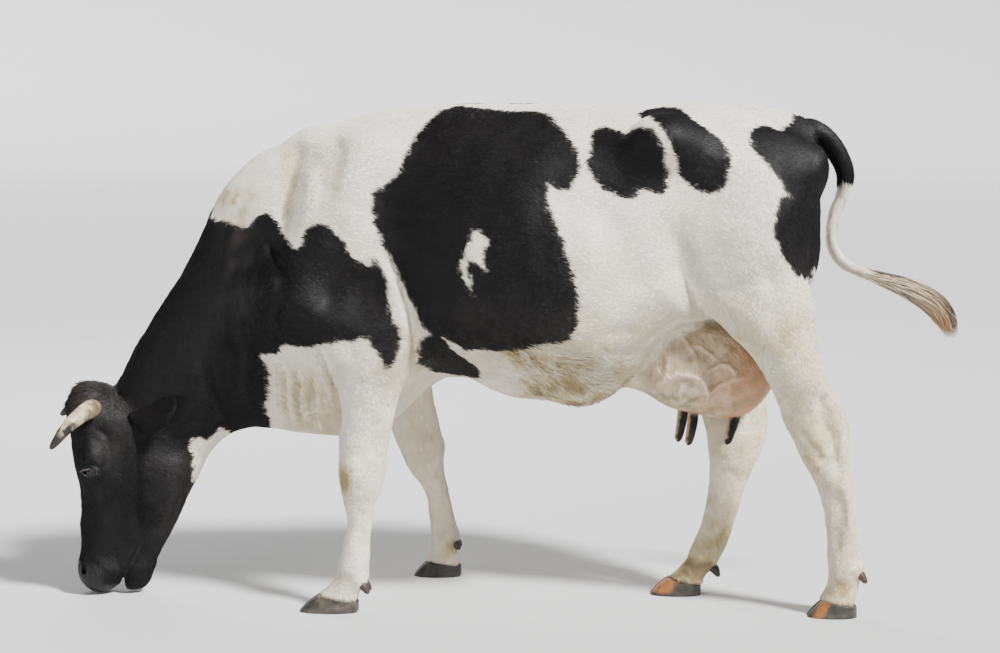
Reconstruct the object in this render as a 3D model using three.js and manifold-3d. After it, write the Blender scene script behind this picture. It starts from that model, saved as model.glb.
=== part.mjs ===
// A life-size Holstein-Friesian dairy cow, standing and grazing, as a still museum model.
// Millimetres, +Z up, origin on the floor under the middle. She faces -X and her left side is -Y.
//
// The flesh is one smooth field: every form below gives a distance, and the forms are blended.
// The field is turned into a closed skin once for each part of the body, and thin cuts part them.
import * as THREE from "three";
import { mergeVertices } from "three/addons/utils/BufferGeometryUtils.js";
import Module from "manifold-3d";

const wasm = await Module();
wasm.setup();

// ---- driving dimensions -------------------------------------------------------------------
const GAP = 0.3; // air left between two neighbouring solids
const SHELL_GAP = 0.6; // air round a piece that is sunk into the flesh
const NECK_TILT = 45; // degrees the neck slopes down towards the head
const HEAD_TURN = 9; // degrees the face is turned to the cow's left
const HEAD_ORIGIN = [-1080, -30, 630]; // behind the forehead, level with the poll
const EYE_RADIUS = 21;
const CLAW_GAP = 7; // cleft between the two claws of a foot
const FAR = 3000; // larger than the whole animal

const LEFT = -1;
const RIGHT = 1;

// ---- small vector helpers -----------------------------------------------------------------
const rad = THREE.MathUtils.degToRad;
const dot = (a, b) => a[0] * b[0] + a[1] * b[1] + a[2] * b[2];
const minus = (a, b) => [a[0] - b[0], a[1] - b[1], a[2] - b[2]];
const mixed = (a, b, t) => a.map((value, i) => value + (b[i] - value) * t);
const clamped = (value, low, high) => Math.min(Math.max(value, low), high);

// Rows of numbers as smooth curves of their first number, flat beyond both ends.
function curves(rows) {
  const x = rows.map((row) => row[0]);
  const slopes = rows.map((row, i) => {
    const before = rows[Math.max(i - 1, 0)];
    const after = rows[Math.min(i + 1, rows.length - 1)];
    return row.map((_, k) => (after[k] - before[k]) / (after[0] - before[0]));
  });
  return (at) => {
    const s = clamped(at, x[0], x[x.length - 1]);
    let i = 0;
    while (i < x.length - 2 && s > x[i + 1]) i++;
    const width = x[i + 1] - x[i];
    const t = (s - x[i]) / width;
    return rows[i].map((value, k) => {
      const next = rows[i + 1][k];
      const curve = (1 + 2 * t) * (1 - t) ** 2 * value + t * t * (3 - 2 * t) * next;
      const lean = t * (1 - t) ** 2 * slopes[i][k] - t * t * (1 - t) * slopes[i + 1][k];
      return curve + lean * width;
    });
  };
}

// ---- forms: each is { distance(p), box } with the distance in millimetres, negative inside ----
// A long form. Its stations are rows of
// [place along, high edge, low edge, half width, height of the widest line, side centre, squareness].
function limb({ origin, along, high, side, rows, caps }) {
  const at = curves(rows);
  const first = rows[0][0];
  const last = rows[rows.length - 1][0];
  return (p) => {
    const rel = minus(p, origin);
    const s = dot(rel, along);
    const [, top, bottom, half, widest, centre, n] = at(s);
    const over = s < first ? (first - s) / caps[0] : s > last ? (s - last) / caps[1] : 0;
    const v = dot(rel, high) - widest;
    const reach = v > 0 ? top - widest : widest - bottom;
    const a = Math.abs(v) / reach;
    const b = Math.abs(dot(rel, side) - centre) / half;
    const g = (a ** n + b ** n + over ** n) ** (1 / n);
    if (g < 0.05) return -Math.min(reach, half);
    const cap = s < first ? caps[0] : caps[1];
    const ga = a ** (n - 1) / reach;
    const gb = b ** (n - 1) / half;
    const gc = over ** (n - 1) / cap;
    const steep = g ** (1 - n) * Math.sqrt(ga * ga + gb * gb + gc * gc);
    return (g - 1) / steep;
  };
}

// An ellipsoid with its own radii along x, y and z, leaning by turn degrees about the side axis.
function ball(centre, radii, turn = 0) {
  const c = Math.cos(rad(turn));
  const s = Math.sin(rad(turn));
  return (p) => {
    const r = minus(p, centre);
    const q = [c * r[0] + s * r[2], r[1], -s * r[0] + c * r[2]];
    const near = Math.hypot(q[0] / radii[0], q[1] / radii[1], q[2] / radii[2]);
    const pull = Math.hypot(q[0] / radii[0] ** 2, q[1] / radii[1] ** 2, q[2] / radii[2] ** 2);
    return pull < 1e-6 ? -Math.min(...radii) : (near * (near - 1)) / pull;
  };
}

// A straight rod with round ends whose radius runs from ra to rb.
function rod(a, b, ra, rb) {
  const ab = minus(b, a);
  const length2 = dot(ab, ab);
  return (p) => {
    const t = clamped(dot(minus(p, a), ab) / length2, 0, 1);
    const q = mixed(a, b, t);
    return Math.hypot(p[0] - q[0], p[1] - q[1], p[2] - q[2]) - (ra + (rb - ra) * t);
  };
}

const joined = (a, b, k) => {
  const h = Math.max(k - Math.abs(a - b), 0) / k;
  return Math.min(a, b) - (h * h * k) / 4;
};
const hollowed = (a, b, k) => -joined(-a, b, k);

// ---- the trunk ------------------------------------------------------------------------------
// [place along the back, top, bottom, half width, height of the widest line, 0, squareness]
const TRUNK = [
  [-640, 1240, 560, 120, 860, 0, 2.0],
  [-540, 1322, 520, 172, 850, 0, 1.95],
  [-440, 1372, 515, 214, 850, 0, 1.85],
  [-330, 1402, 570, 250, 850, 0, 1.85],
  [-230, 1416, 660, 290, 860, 0, 1.9],
  [-110, 1424, 645, 332, 865, 0, 1.95],
  [10, 1425, 594, 360, 865, 0, 2.0],
  [130, 1426, 580, 374, 860, 0, 2.05],
  [240, 1424, 568, 371, 865, 0, 2.1],
  [310, 1421, 592, 360, 885, 0, 2.15],
  [380, 1419, 650, 342, 915, 0, 2.2],
  [460, 1420, 735, 320, 950, 0, 2.25],
  [560, 1422, 780, 296, 985, 0, 2.2],
  [660, 1420, 790, 272, 1010, 0, 2.1],
  [760, 1406, 800, 240, 1020, 0, 2.05],
  [840, 1384, 850, 192, 1030, 0, 2.0],
  [872, 1356, 905, 154, 1040, 0, 2.0],
];

// [place down the neck, top, underside, half width, height of the widest line, 0, squareness]
const NECK = [
  [-220, 324, -400, 150, -60, 0, 1.9],
  [-90, 361, -430, 160, -70, 0, 1.85],
  [50, 374, -448, 158, -70, 0, 1.8],
  [190, 327, -440, 148, -60, 0, 1.8],
  [300, 292, -375, 136, -20, 0, 1.8],
  [400, 272, -268, 126, 10, 0, 1.85],
  [470, 256, -184, 119, 25, 0, 1.95],
  [530, 243, -146, 114, 30, 0, 2.0],
  [600, 222, -132, 110, 30, 0, 2.0],
  [660, 200, -134, 104, 30, 0, 2.0],
];

// [place down from the poll, forehead edge, jaw edge, half width, widest line, 0, squareness]
const HEAD = [
  [46, 142, 40, 72, 98, 0, 2.3],
  [72, 160, 0, 88, 96, 0, 2.5],
  [110, 168, -80, 100, 90, 0, 2.5],
  [170, 163, -150, 107, 84, 0, 2.4],
  [225, 158, -192, 112, 80, 0, 2.4],
  [270, 150, -200, 111, 76, 0, 2.4],
  [315, 142, -184, 102, 70, 0, 2.3],
  [370, 139, -161, 87, 62, 0, 2.3],
  [430, 141, -133, 74, 58, 0, 2.3],
  [490, 141, -100, 67, 58, 0, 2.3],
  [535, 142, -76, 65, 60, 0, 2.4],
];

// Legs, by height: [height, front edge, back edge, half width, where widest, side centre, squareness].
// Front and back are places along the body, so the front edge is the smaller number.
const THIGH_TOP = [
  [1210, 600, 864, 62, 760, 150, 2.0],
  [1090, 540, 868, 96, 740, 168, 2.1],
];
const LEGS = {
  fore_left: [
    [46, -494, -382, 46, -436, 236, 2.3],
    [95, -449, -354, 42, -403, 236, 2.2],
    [129, -443, -350, 43, -396, 235, 2.2],
    [164, -432, -347, 35, -392, 234, 2.1],
    [200, -424, -347, 31, -388, 232, 2.1],
    [267, -416, -340, 31, -380, 229, 2.1],
    [305, -426, -334, 38, -384, 227, 2.3],
    [345, -434, -316, 48, -384, 225, 2.5],
    [400, -440, -304, 52, -384, 222, 2.5],
    [450, -440, -300, 50, -376, 218, 2.2],
    [540, -440, -282, 60, -366, 212, 2.1],
    [620, -443, -266, 70, -356, 205, 2.1],
    [700, -466, -238, 82, -350, 196, 2.1],
    [780, -510, -210, 88, -360, 186, 2.1],
  ],
  fore_right: [
    [46, -240, -144, 46, -190, 284, 2.3],
    [93, -228, -146, 42, -186, 283, 2.2],
    [129, -230, -144, 43, -184, 282, 2.2],
    [166, -231, -152, 35, -190, 280, 2.1],
    [202, -236, -160, 31, -196, 276, 2.1],
    [242, -242, -170, 31, -206, 271, 2.1],
    [275, -256, -176, 36, -216, 265, 2.2],
    [312, -284, -184, 46, -234, 259, 2.5],
    [350, -304, -188, 51, -248, 252, 2.5],
    [405, -326, -184, 51, -258, 243, 2.4],
    [455, -342, -196, 51, -266, 235, 2.2],
    [540, -362, -212, 60, -284, 222, 2.1],
    [620, -382, -222, 70, -304, 210, 2.1],
    [700, -412, -226, 82, -320, 197, 2.1],
    [780, -470, -214, 88, -340, 186, 2.1],
  ],
  hind_left: [
    [48, 914, 1010, 46, 960, 206, 2.3],
    [98, 929, 1022, 42, 976, 206, 2.2],
    [133, 931, 1030, 44, 980, 206, 2.2],
    [168, 927, 1030, 36, 978, 206, 2.1],
    [215, 925, 1022, 33, 974, 206, 2.1],
    [270, 920, 1017, 33, 970, 205, 2.1],
    [320, 908, 1005, 35, 958, 204, 2.1],
    [370, 892, 1000, 42, 948, 203, 2.3],
    [430, 858, 990, 49, 930, 202, 2.4],
    [490, 830, 986, 51, 906, 201, 2.3],
    [540, 804, 986, 49, 884, 201, 2.1],
    [595, 784, 964, 52, 860, 202, 2.0],
    [660, 754, 930, 68, 836, 203, 2.0],
    [730, 708, 904, 84, 800, 202, 2.0],
    [800, 634, 892, 100, 762, 198, 2.0],
    [870, 556, 886, 110, 730, 190, 2.1],
    [970, 520, 868, 110, 720, 180, 2.1],
  ],
  hind_right: [
    [48, 492, 590, 46, 550, 62, 2.3],
    [98, 534, 630, 42, 590, 62, 2.2],
    [132, 548, 650, 44, 604, 63, 2.2],
    [165, 562, 664, 36, 616, 65, 2.1],
    [205, 578, 676, 33, 630, 68, 2.1],
    [250, 590, 690, 33, 642, 72, 2.1],
    [300, 597, 705, 35, 654, 79, 2.1],
    [350, 601, 725, 40, 666, 86, 2.3],
    [400, 600, 748, 48, 682, 94, 2.4],
    [450, 594, 768, 51, 690, 104, 2.3],
    [500, 584, 774, 49, 686, 116, 2.1],
    [560, 562, 772, 52, 672, 132, 2.0],
    [630, 524, 776, 68, 656, 154, 2.0],
    [710, 480, 800, 86, 648, 171, 2.0],
    [790, 462, 836, 100, 660, 183, 2.0],
    [870, 474, 868, 110, 690, 186, 2.1],
    [970, 504, 866, 110, 714, 178, 2.1],
  ],
};

function legForm(name, side) {
  const rows = name.startsWith("hind") ? [...LEGS[name], ...[...THIGH_TOP].reverse()] : LEGS[name];
  return limb({
    origin: [0, 0, 0],
    along: [0, 0, 1],
    high: [1, 0, 0],
    side: [0, side, 0],
    rows: rows.map(([z, front, back, ...rest]) => [z, back, front, ...rest]),
    caps: [20, 60],
  });
}

const neckForm = limb({
  origin: [-500, 0, 950],
  along: [-Math.cos(rad(NECK_TILT)), 0, -Math.sin(rad(NECK_TILT))],
  high: [-Math.sin(rad(NECK_TILT)), 0, Math.cos(rad(NECK_TILT))],
  side: [0, 1, 0],
  rows: NECK,
  caps: [80, 50],
});

// A place on the head: down from the poll, forward of the middle and out to one side.
const FACE = [-Math.cos(rad(HEAD_TURN)), -Math.sin(rad(HEAD_TURN)), 0];
const FACE_SIDE = [-Math.sin(rad(HEAD_TURN)), Math.cos(rad(HEAD_TURN)), 0];
const onHead = (down, forward, out) =>
  HEAD_ORIGIN.map((o, i) => o + FACE[i] * forward + FACE_SIDE[i] * out - (i === 2 ? down : 0));

const headForm = limb({
  origin: HEAD_ORIGIN,
  along: [0, 0, -1],
  high: FACE,
  side: FACE_SIDE,
  rows: HEAD,
  caps: [26, 46],
});

const both = (make) => [LEFT, RIGHT].map(make);

// [form, softness of its blend into what is there already]; a hollow is taken away instead.
const BODY = [
  [
    limb({
      origin: [0, 0, 0],
      along: [1, 0, 0],
      high: [0, 0, 1],
      side: [0, 1, 0],
      rows: TRUNK,
      caps: [90, 42],
    }),
    1,
  ],
  [neckForm, 110],
  // Shoulder blade, upper arm and the point of the shoulder.
  ...both((y) => [rod([-360, y * 108, 1270], [-560, y * 166, 900], 56, 90), 140]),
  ...both((y) => [rod([-580, y * 172, 830], [-380, y * 190, 730], 84, 86), 110]),
  [legForm("fore_left", LEFT), 80],
  [legForm("fore_right", RIGHT), 80],
  [legForm("hind_left", LEFT), 70],
  [legForm("hind_right", RIGHT), 70],
  // Hip bones and the bony edges of the rump, pin bones, thigh joints and the tail head.
  ...both((y) => [ball([446, y * 238, 1312], [70, 42, 50]), 100]),
  ...both((y) => [rod([455, y * 222, 1322], [530, y * 60, 1362], 40, 36), 80]),
  ...both((y) => [rod([470, y * 226, 1318], [840, y * 118, 1262], 40, 36), 90]),
  ...both((y) => [ball([866, y * 112, 1238], [44, 38, 50]), 70]),
  ...both((y) => [ball([690, y * 236, 1130], [120, 56, 120]), 120]),
  [rod([740, 0, 1366], [868, 0, 1340], 34, 30), 60],
  // Hollows: in front of the hips, and beside the tail head.
  ...both((y) => [ball([312, y * 388, 1215], [130, 60, 90]), 120, true]),
  ...both((y) => [ball([800, y * 96, 1420], [110, 44, 52]), 50, true]),
  [headForm, 50],
  // Forehead, brows, cheeks, throat and the poll between the horns.
  [ball(onHead(70, 108, 0), [54, 76, 42]), 40],
  ...both((y) => [ball(onHead(226, 98, y * 86), [38, 36, 38]), 40]),
  ...both((y) => [ball(onHead(300, -90, y * 62), [78, 40, 92], -14), 50]),
  [rod(onHead(244, -128, 0), onHead(150, -206, 0), 46, 44), 60],
  // Muzzle, nostril wings, chin and the mouth.
  [ball(onHead(567, 83, 0), [65, 73, 60]), 36],
  [ball(onHead(566, -20, 0), [44, 48, 54]), 22],
  [ball(onHead(594, -4, 0), [27, 38, 26]), 14],
];

const bodyField = (p) => {
  let d = BODY[0][0](p);
  for (const [form, soft, taken] of BODY.slice(1)) {
    d = taken ? hollowed(d, form(p), soft) : joined(d, form(p), soft);
  }
  return d;
};

// ---- the udder ------------------------------------------------------------------------------
const TEATS = {
  teat_front_left: [[556, -84, 566], [540, -94, 459]],
  teat_front_right: [[528, 66, 560], [511, 70, 444]],
  teat_rear_left: [[672, -72, 562], [649, -80, 460]],
  teat_rear_right: [[680, 44, 562], [664, 42, 472]],
};
const UDDER = [
  [ball([605, 0, 698], [172, 142, 156]), 1],
  [ball([536, -84, 668], [116, 94, 109]), 50],
  [ball([536, 82, 668], [116, 92, 109]), 50],
  [ball([655, -62, 650], [112, 84, 112]), 60],
  [ball([655, 58, 650], [112, 80, 112]), 60],
  [rod([345, 0, 700], [470, 0, 712], 86, 114), 80],
  [rod([700, 0, 700], [770, 0, 840], 95, 70), 60],
];
const udderField = (p) => UDDER.slice(1).reduce((d, [f, k]) => joined(d, f(p), k), UDDER[0][0](p));

// ---- from a field to a closed skin --------------------------------------------------------------
// Surface nets: one point in every cell that the surface crosses, then each point is slid onto it.
function skinOf(field, low, high, cell, level = 0) {
  const count = low.map((l, i) => Math.ceil((high[i] - l) / cell[i]) + 1);
  const [nx, ny, nz] = count;
  const place = (i, j, k) => [low[0] + i * cell[0], low[1] + j * cell[1], low[2] + k * cell[2]];
  const id = (i, j, k) => (i * ny + j) * nz + k;
  const rim = (i, j, k) => !i || !j || !k || i === nx - 1 || j === ny - 1 || k === nz - 1;
  const values = new Float32Array(nx * ny * nz);
  for (let i = 0; i < nx; i++)
    for (let j = 0; j < ny; j++)
      for (let k = 0; k < nz; k++) {
        const d = field(place(i, j, k)) - level;
        values[id(i, j, k)] = rim(i, j, k) ? Math.max(d, cell[0]) : d;
      }
  openCorners(values, count, id);

  const points = [];
  const pointOf = new Int32Array(values.length).fill(-1);
  const corners = [0, 1, 2, 3, 4, 5, 6, 7].map((c) => [c & 1, (c >> 1) & 1, (c >> 2) & 1]);
  const edges = [];
  for (let a = 0; a < 8; a++)
    for (const bit of [1, 2, 4]) if (!(a & bit)) edges.push([a, a | bit]);
  for (let i = 0; i < nx - 1; i++)
    for (let j = 0; j < ny - 1; j++)
      for (let k = 0; k < nz - 1; k++) {
        const v = corners.map(([a, b, c]) => values[id(i + a, j + b, k + c)]);
        const sum = [0, 0, 0];
        let hits = 0;
        for (const [a, b] of edges) {
          if (v[a] < 0 === v[b] < 0) continue;
          const t = v[a] / (v[a] - v[b]);
          for (let axis = 0; axis < 3; axis++) {
            sum[axis] += corners[a][axis] + (corners[b][axis] - corners[a][axis]) * t;
          }
          hits++;
        }
        if (!hits) continue;
        const at = sum.map((value, n) => low[n] + ([i, j, k][n] + value / hits) * cell[n]);
        const onRim = corners.some(([a, b, c]) => rim(i + a, j + b, k + c));
        pointOf[id(i, j, k)] = points.length;
        points.push(onRim ? at : settled(field, at, level, Math.min(...cell) * 0.45));
      }

  const faces = [];
  const quad = (a, b, c, d, flip) => {
    const [p, q, r, s] = flip ? [a, d, c, b] : [a, b, c, d];
    const gap = (m, n) => Math.hypot(...minus(points[m], points[n]));
    if (gap(p, r) < gap(q, s)) faces.push(p, q, r, p, r, s);
    else faces.push(p, q, s, q, r, s);
  };
  for (let i = 0; i < nx - 1; i++)
    for (let j = 0; j < ny - 1; j++)
      for (let k = 0; k < nz - 1; k++) {
        const here = values[id(i, j, k)] < 0;
        const cellAt = (a, b, c) => pointOf[id(i + a, j + b, k + c)];
        if (here !== values[id(i + 1, j, k)] < 0)
          quad(cellAt(0, -1, -1), cellAt(0, 0, -1), cellAt(0, 0, 0), cellAt(0, -1, 0), !here);
        if (here !== values[id(i, j + 1, k)] < 0)
          quad(cellAt(-1, 0, -1), cellAt(-1, 0, 0), cellAt(0, 0, 0), cellAt(0, 0, -1), !here);
        if (here !== values[id(i, j, k + 1)] < 0)
          quad(cellAt(-1, -1, 0), cellAt(0, -1, 0), cellAt(0, 0, 0), cellAt(-1, 0, 0), !here);
      }
  const geometry = new THREE.BufferGeometry();
  geometry.setAttribute("position", new THREE.Float32BufferAttribute(points.flat(), 3));
  geometry.setIndex(faces);
  return geometry;
}

// Two inside corners that face each other across one square of the grid would make the skin touch
// itself. The nearer outside corner of that square is taken in as well, until none is left.
function openCorners(values, [nx, ny, nz], id) {
  const squares = [[[1, 0, 0], [0, 1, 0]], [[1, 0, 0], [0, 0, 1]], [[0, 1, 0], [0, 0, 1]]];
  let again = true;
  while (again) {
    again = false;
    for (let i = 0; i < nx - 1; i++)
      for (let j = 0; j < ny - 1; j++)
        for (let k = 0; k < nz - 1; k++)
          for (const [u, v] of squares) {
            const a = id(i, j, k);
            const b = id(i + u[0], j + u[1], k + u[2]);
            const c = id(i + u[0] + v[0], j + u[1] + v[1], k + u[2] + v[2]);
            const d = id(i + v[0], j + v[1], k + v[2]);
            const [across, along] = [values[a] < 0 === values[c] < 0, values[b] < 0 === values[d] < 0];
            if (!across || !along || values[a] < 0 === values[b] < 0) continue;
            const outside = values[a] < 0 ? [b, d] : [a, c];
            const nearer = values[outside[0]] < values[outside[1]] ? outside[0] : outside[1];
            values[nearer] = -0.5;
            again = true;
          }
  }
}

// Slides a point along the field's slope until it lies on the level, by at most reach.
function settled(field, start, level, reach) {
  const step = 1.5;
  let p = [...start];
  for (let n = 0; n < 4; n++) {
    const slope = [0, 1, 2].map((axis) => {
      const ahead = [...p];
      const behind = [...p];
      ahead[axis] += step;
      behind[axis] -= step;
      return (field(ahead) - field(behind)) / (2 * step);
    });
    const steep = Math.max(dot(slope, slope), 0.05);
    const d = field(p) - level;
    p = p.map((value, axis) => value - (d * slope[axis]) / steep);
  }
  return p.map((value, axis) => clamped(value, start[axis] - reach, start[axis] + reach));
}

// ---- joining and cutting ----------------------------------------------------------------------
function solidOf(geometry) {
  const bare = geometry.clone();
  bare.deleteAttribute("normal");
  bare.deleteAttribute("uv");
  const merged = mergeVertices(bare, 1e-3);
  return new wasm.Manifold(
    new wasm.Mesh({
      numProp: 3,
      vertProperties: merged.attributes.position.array,
      triVerts: new Uint32Array(merged.index.array),
    }),
  );
}

function geometryOf(solid) {
  const mesh = solid.getMesh();
  const place = new Float32Array(mesh.numVert * 3);
  for (let i = 0; i < mesh.numVert; i++) {
    place.set(mesh.vertProperties.subarray(i * mesh.numProp, i * mesh.numProp + 3), i * 3);
  }
  const geometry = new THREE.BufferGeometry();
  geometry.setAttribute("position", new THREE.BufferAttribute(place, 3));
  geometry.setIndex(new THREE.BufferAttribute(mesh.triVerts, 1));
  return geometry;
}

// A solid pushed out along its own surface, to cut its neighbours clear of it.
function fattened(solid, gap = SHELL_GAP) {
  const geometry = geometryOf(solid);
  geometry.computeVertexNormals();
  const place = geometry.attributes.position.array;
  const out = geometry.attributes.normal.array;
  for (let i = 0; i < place.length; i++) place[i] += out[i] * gap;
  return solidOf(geometry);
}

// The largest piece of a solid that a cut may have left in crumbs.
const largest = (solid) => solid.decompose().sort((a, b) => b.volume() - a.volume())[0];

// What is left of a solid once its neighbours, and the air round them, are taken away.
const clearOf = (solid, ...others) =>
  largest(others.reduce((rest, other) => rest.subtract(fattened(other)).subtract(other), solid));

// A block between two corners.
function block(low, high) {
  const size = minus(high, low);
  const geometry = new THREE.BoxGeometry(...size);
  geometry.translate(...low.map((value, i) => value + size[i] / 2));
  return solidOf(geometry);
}

// Everything on the far side of a slanting plane, limited to [ahead, below] from a point on it.
function slab(point, normalTilt, ahead, above, below) {
  const geometry = new THREE.BoxGeometry(ahead, FAR, above + below);
  geometry.translate(ahead / 2, 0, (above - below) / 2);
  geometry.rotateY(rad(normalTilt));
  geometry.translate(...point);
  return solidOf(geometry);
}

// ---- the parted body --------------------------------------------------------------------------
// The head's plane runs from the notch behind the poll to the throat, and the neck's from the
// withers to the brisket. A slab's own +X axis is turned to point ahead of its plane.
const headPlane = [[-1110, 0, 632], 131.6];
const neckPlane = [[-548, 0, 1350], 189.5];
const headSlab = (gap) => slab(slid(headPlane, gap), headPlane[1], 1200, 900, 460);
const neckSlab = (gap) => slab(slid(neckPlane, gap), neckPlane[1], 1200, 1300, 600);
function slid([point, tilt], gap) {
  return [point[0] - Math.cos(rad(tilt)) * gap, 0, point[2] + Math.sin(rad(tilt)) * gap];
}

const LEG_BLOCKS = {
  foreleg_left: { low: [-510, -420, -60], high: [-200, -118, 606], form: "fore_left" },
  foreleg_right: { low: [-430, 118, -60], high: [-90, 420, 606], form: "fore_right" },
  hindleg_left: { low: [520, -460, -60], high: [1120, -24, 742], form: "hind_left" },
  hindleg_right: { low: [440, 4, -60], high: [1120, 460, 742], form: "hind_right" },
};
const grown = ({ low, high }, gap) =>
  block(low.map((v) => v - gap), high.map((v) => v + gap));

// One flesh part: its skin at its own cell size, cut by what bounds it.
function flesh(low, high, cell, keep, taken, field = bodyField) {
  let solid = solidOf(skinOf(field, low, high, cell));
  if (keep) solid = solid.intersect(keep);
  for (const tool of taken) solid = solid.subtract(tool);
  return largest(solid);
}

// ---- sweeps and shells for the hard and thin parts ------------------------------------------------
// Rings of points, each as long as the first, closed at both ends onto a middle point.
function ringed(rings) {
  const around = rings[0].length;
  const points = rings.flat();
  const faces = [];
  const middle = (ring) => ring.reduce((sum, p) => sum.map((v, i) => v + p[i]), [0, 0, 0])
    .map((v) => v / ring.length);
  for (let r = 0; r < rings.length - 1; r++)
    for (let k = 0; k < around; k++) {
      const next = (k + 1) % around;
      const [a, b] = [r * around + k, r * around + next];
      faces.push(a, b, b + around, a, b + around, a + around);
    }
  const start = points.push(middle(rings[0])) - 1;
  const end = points.push(middle(rings[rings.length - 1])) - 1;
  const last = (rings.length - 1) * around;
  for (let k = 0; k < around; k++) {
    const next = (k + 1) % around;
    faces.push(start, next, k, end, last + k, last + next);
  }
  const geometry = new THREE.BufferGeometry();
  geometry.setAttribute("position", new THREE.Float32BufferAttribute(points.flat(), 3));
  geometry.setIndex(faces);
  const solid = solidOf(geometry);
  return solid.volume() > 0 ? solid : inverted(geometry);
}

function inverted(geometry) {
  const index = geometry.index.array;
  for (let i = 0; i < index.length; i += 3) [index[i], index[i + 1]] = [index[i + 1], index[i]];
  return solidOf(geometry);
}

// A round tube along a curve. radius(t) is its radius at the share t of its length.
function swept(points, radius, steps, sides) {
  const path = new THREE.CatmullRomCurve3(points.map((p) => new THREE.Vector3(...p)));
  const frames = path.computeFrenetFrames(steps, false);
  const rings = [];
  for (let r = 0; r <= steps; r++) {
    const centre = path.getPointAt(r / steps);
    rings.push(
      Array.from({ length: sides }, (_, k) => {
        const turn = (k / sides) * 2 * Math.PI;
        const out = frames.normals[r].clone().multiplyScalar(Math.cos(turn));
        out.addScaledVector(frames.binormals[r], Math.sin(turn));
        return centre.clone().addScaledVector(out, radius(r / steps)).toArray();
      }),
    );
  }
  return ringed(rings);
}

// The front of the slightly open mouth: a wedge between the upper lip and the chin.
const MOUTH = { top: [570, 17], front: [640, 46], back: [640, 9] };
function mouthWedge() {
  const corners = Object.values(MOUTH).map(([down, forward]) => new THREE.Vector2(forward, -down));
  const shape = new THREE.Shape(corners);
  const geometry = new THREE.ExtrudeGeometry(shape, { depth: 200, bevelEnabled: false });
  geometry.translate(0, 0, -100);
  const frame = new THREE.Matrix4().makeBasis(
    new THREE.Vector3(...FACE),
    new THREE.Vector3(0, 0, 1),
    new THREE.Vector3(...FACE).cross(new THREE.Vector3(0, 0, 1)),
  );
  geometry.applyMatrix4(frame.setPosition(...HEAD_ORIGIN));
  return solidOf(geometry);
}

// Horns curve out, forward and down from the poll; the right one stands a little higher.
const HORN_ENDS = {
  [LEFT]: [onHead(118, 160, -192), onHead(175, 205, -204)],
  [RIGHT]: [onHead(102, 166, 190), onHead(134, 212, 204)],
};
const hornPath = (y) => [
  onHead(80, 92, y * 60),
  onHead(77, 103, y * 112),
  onHead(90, 128, y * 160),
  ...HORN_ENDS[y],
];
const hornRadius = (t) => 27 * (1 - t) ** 0.42 + 1.5;

// Ears are thin cupped leaves that stand out and back below the horns.
const EAR_LENGTH = 168;
const EAR_WIDTH = 58;
const EAR_THICK = 5;
const leaf = curves([
  [0, 0.5],
  [0.3, 0.88],
  [0.6, 1],
  [0.84, 0.8],
  [1, 0.18],
]);
function ear(y) {
  const root = onHead(104, -18, y * 84);
  const tip = onHead(48, -188, y * 218);
  const along = new THREE.Vector3(...minus(tip, root)).normalize();
  const face = new THREE.Vector3(-0.2, y * 0.72, 0.62);
  const across = new THREE.Vector3().crossVectors(face, along).normalize();
  const outward = new THREE.Vector3().crossVectors(along, across).normalize();
  const rings = [];
  const steps = 7;
  const sides = 10;
  for (let r = 0; r <= steps; r++) {
    const t = r / steps;
    const half = EAR_WIDTH * leaf(t)[1];
    const cup = 26 * (1 - t) + 6;
    const thick = EAR_THICK + 12 * (1 - t) ** 3;
    rings.push(
      Array.from({ length: sides }, (_, k) => {
        const turn = (k / sides) * 2 * Math.PI;
        const wide = Math.cos(turn);
        const bow = cup * wide * wide;
        const centre = new THREE.Vector3(...root).addScaledVector(along, t * EAR_LENGTH);
        centre.addScaledVector(across, half * wide);
        centre.addScaledVector(outward, Math.sin(turn) * thick - bow);
        return centre.toArray();
      }),
    );
  }
  return ringed(rings);
}

// The tail lifts off the rump, hangs in an S and ends in a switch of long hair.
const TAIL_PATH = [
  [812, 0, 1352],
  [868, 2, 1352],
  [914, 4, 1330],
  [952, 6, 1286],
  [976, 8, 1232],
  [974, 9, 1172],
  [954, 10, 1118],
  [942, 11, 1062],
  [948, 12, 1016],
  [974, 14, 976],
  [1018, 16, 950],
  [1070, 19, 930],
  [1126, 22, 912],
  [1182, 25, 889],
  [1233, 28, 858],
  [1270, 30, 818],
  [1292, 31, 764],
];
const TAIL_PARTS = {
  tail_base: [0, 5, [31, 23.5]],
  tail_middle: [5, 10, [22, 15.5, 15]],
  tail_switch: [10, 16, [16, 38, 38, 8]],
};
function tailPart(name) {
  const [from, to, radii] = TAIL_PARTS[name];
  const at = curves(radii.map((r, i) => [i / (radii.length - 1), r]));
  return swept(TAIL_PATH.slice(from, to + 1), (t) => at(t)[1], 7, 8);
}

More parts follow.
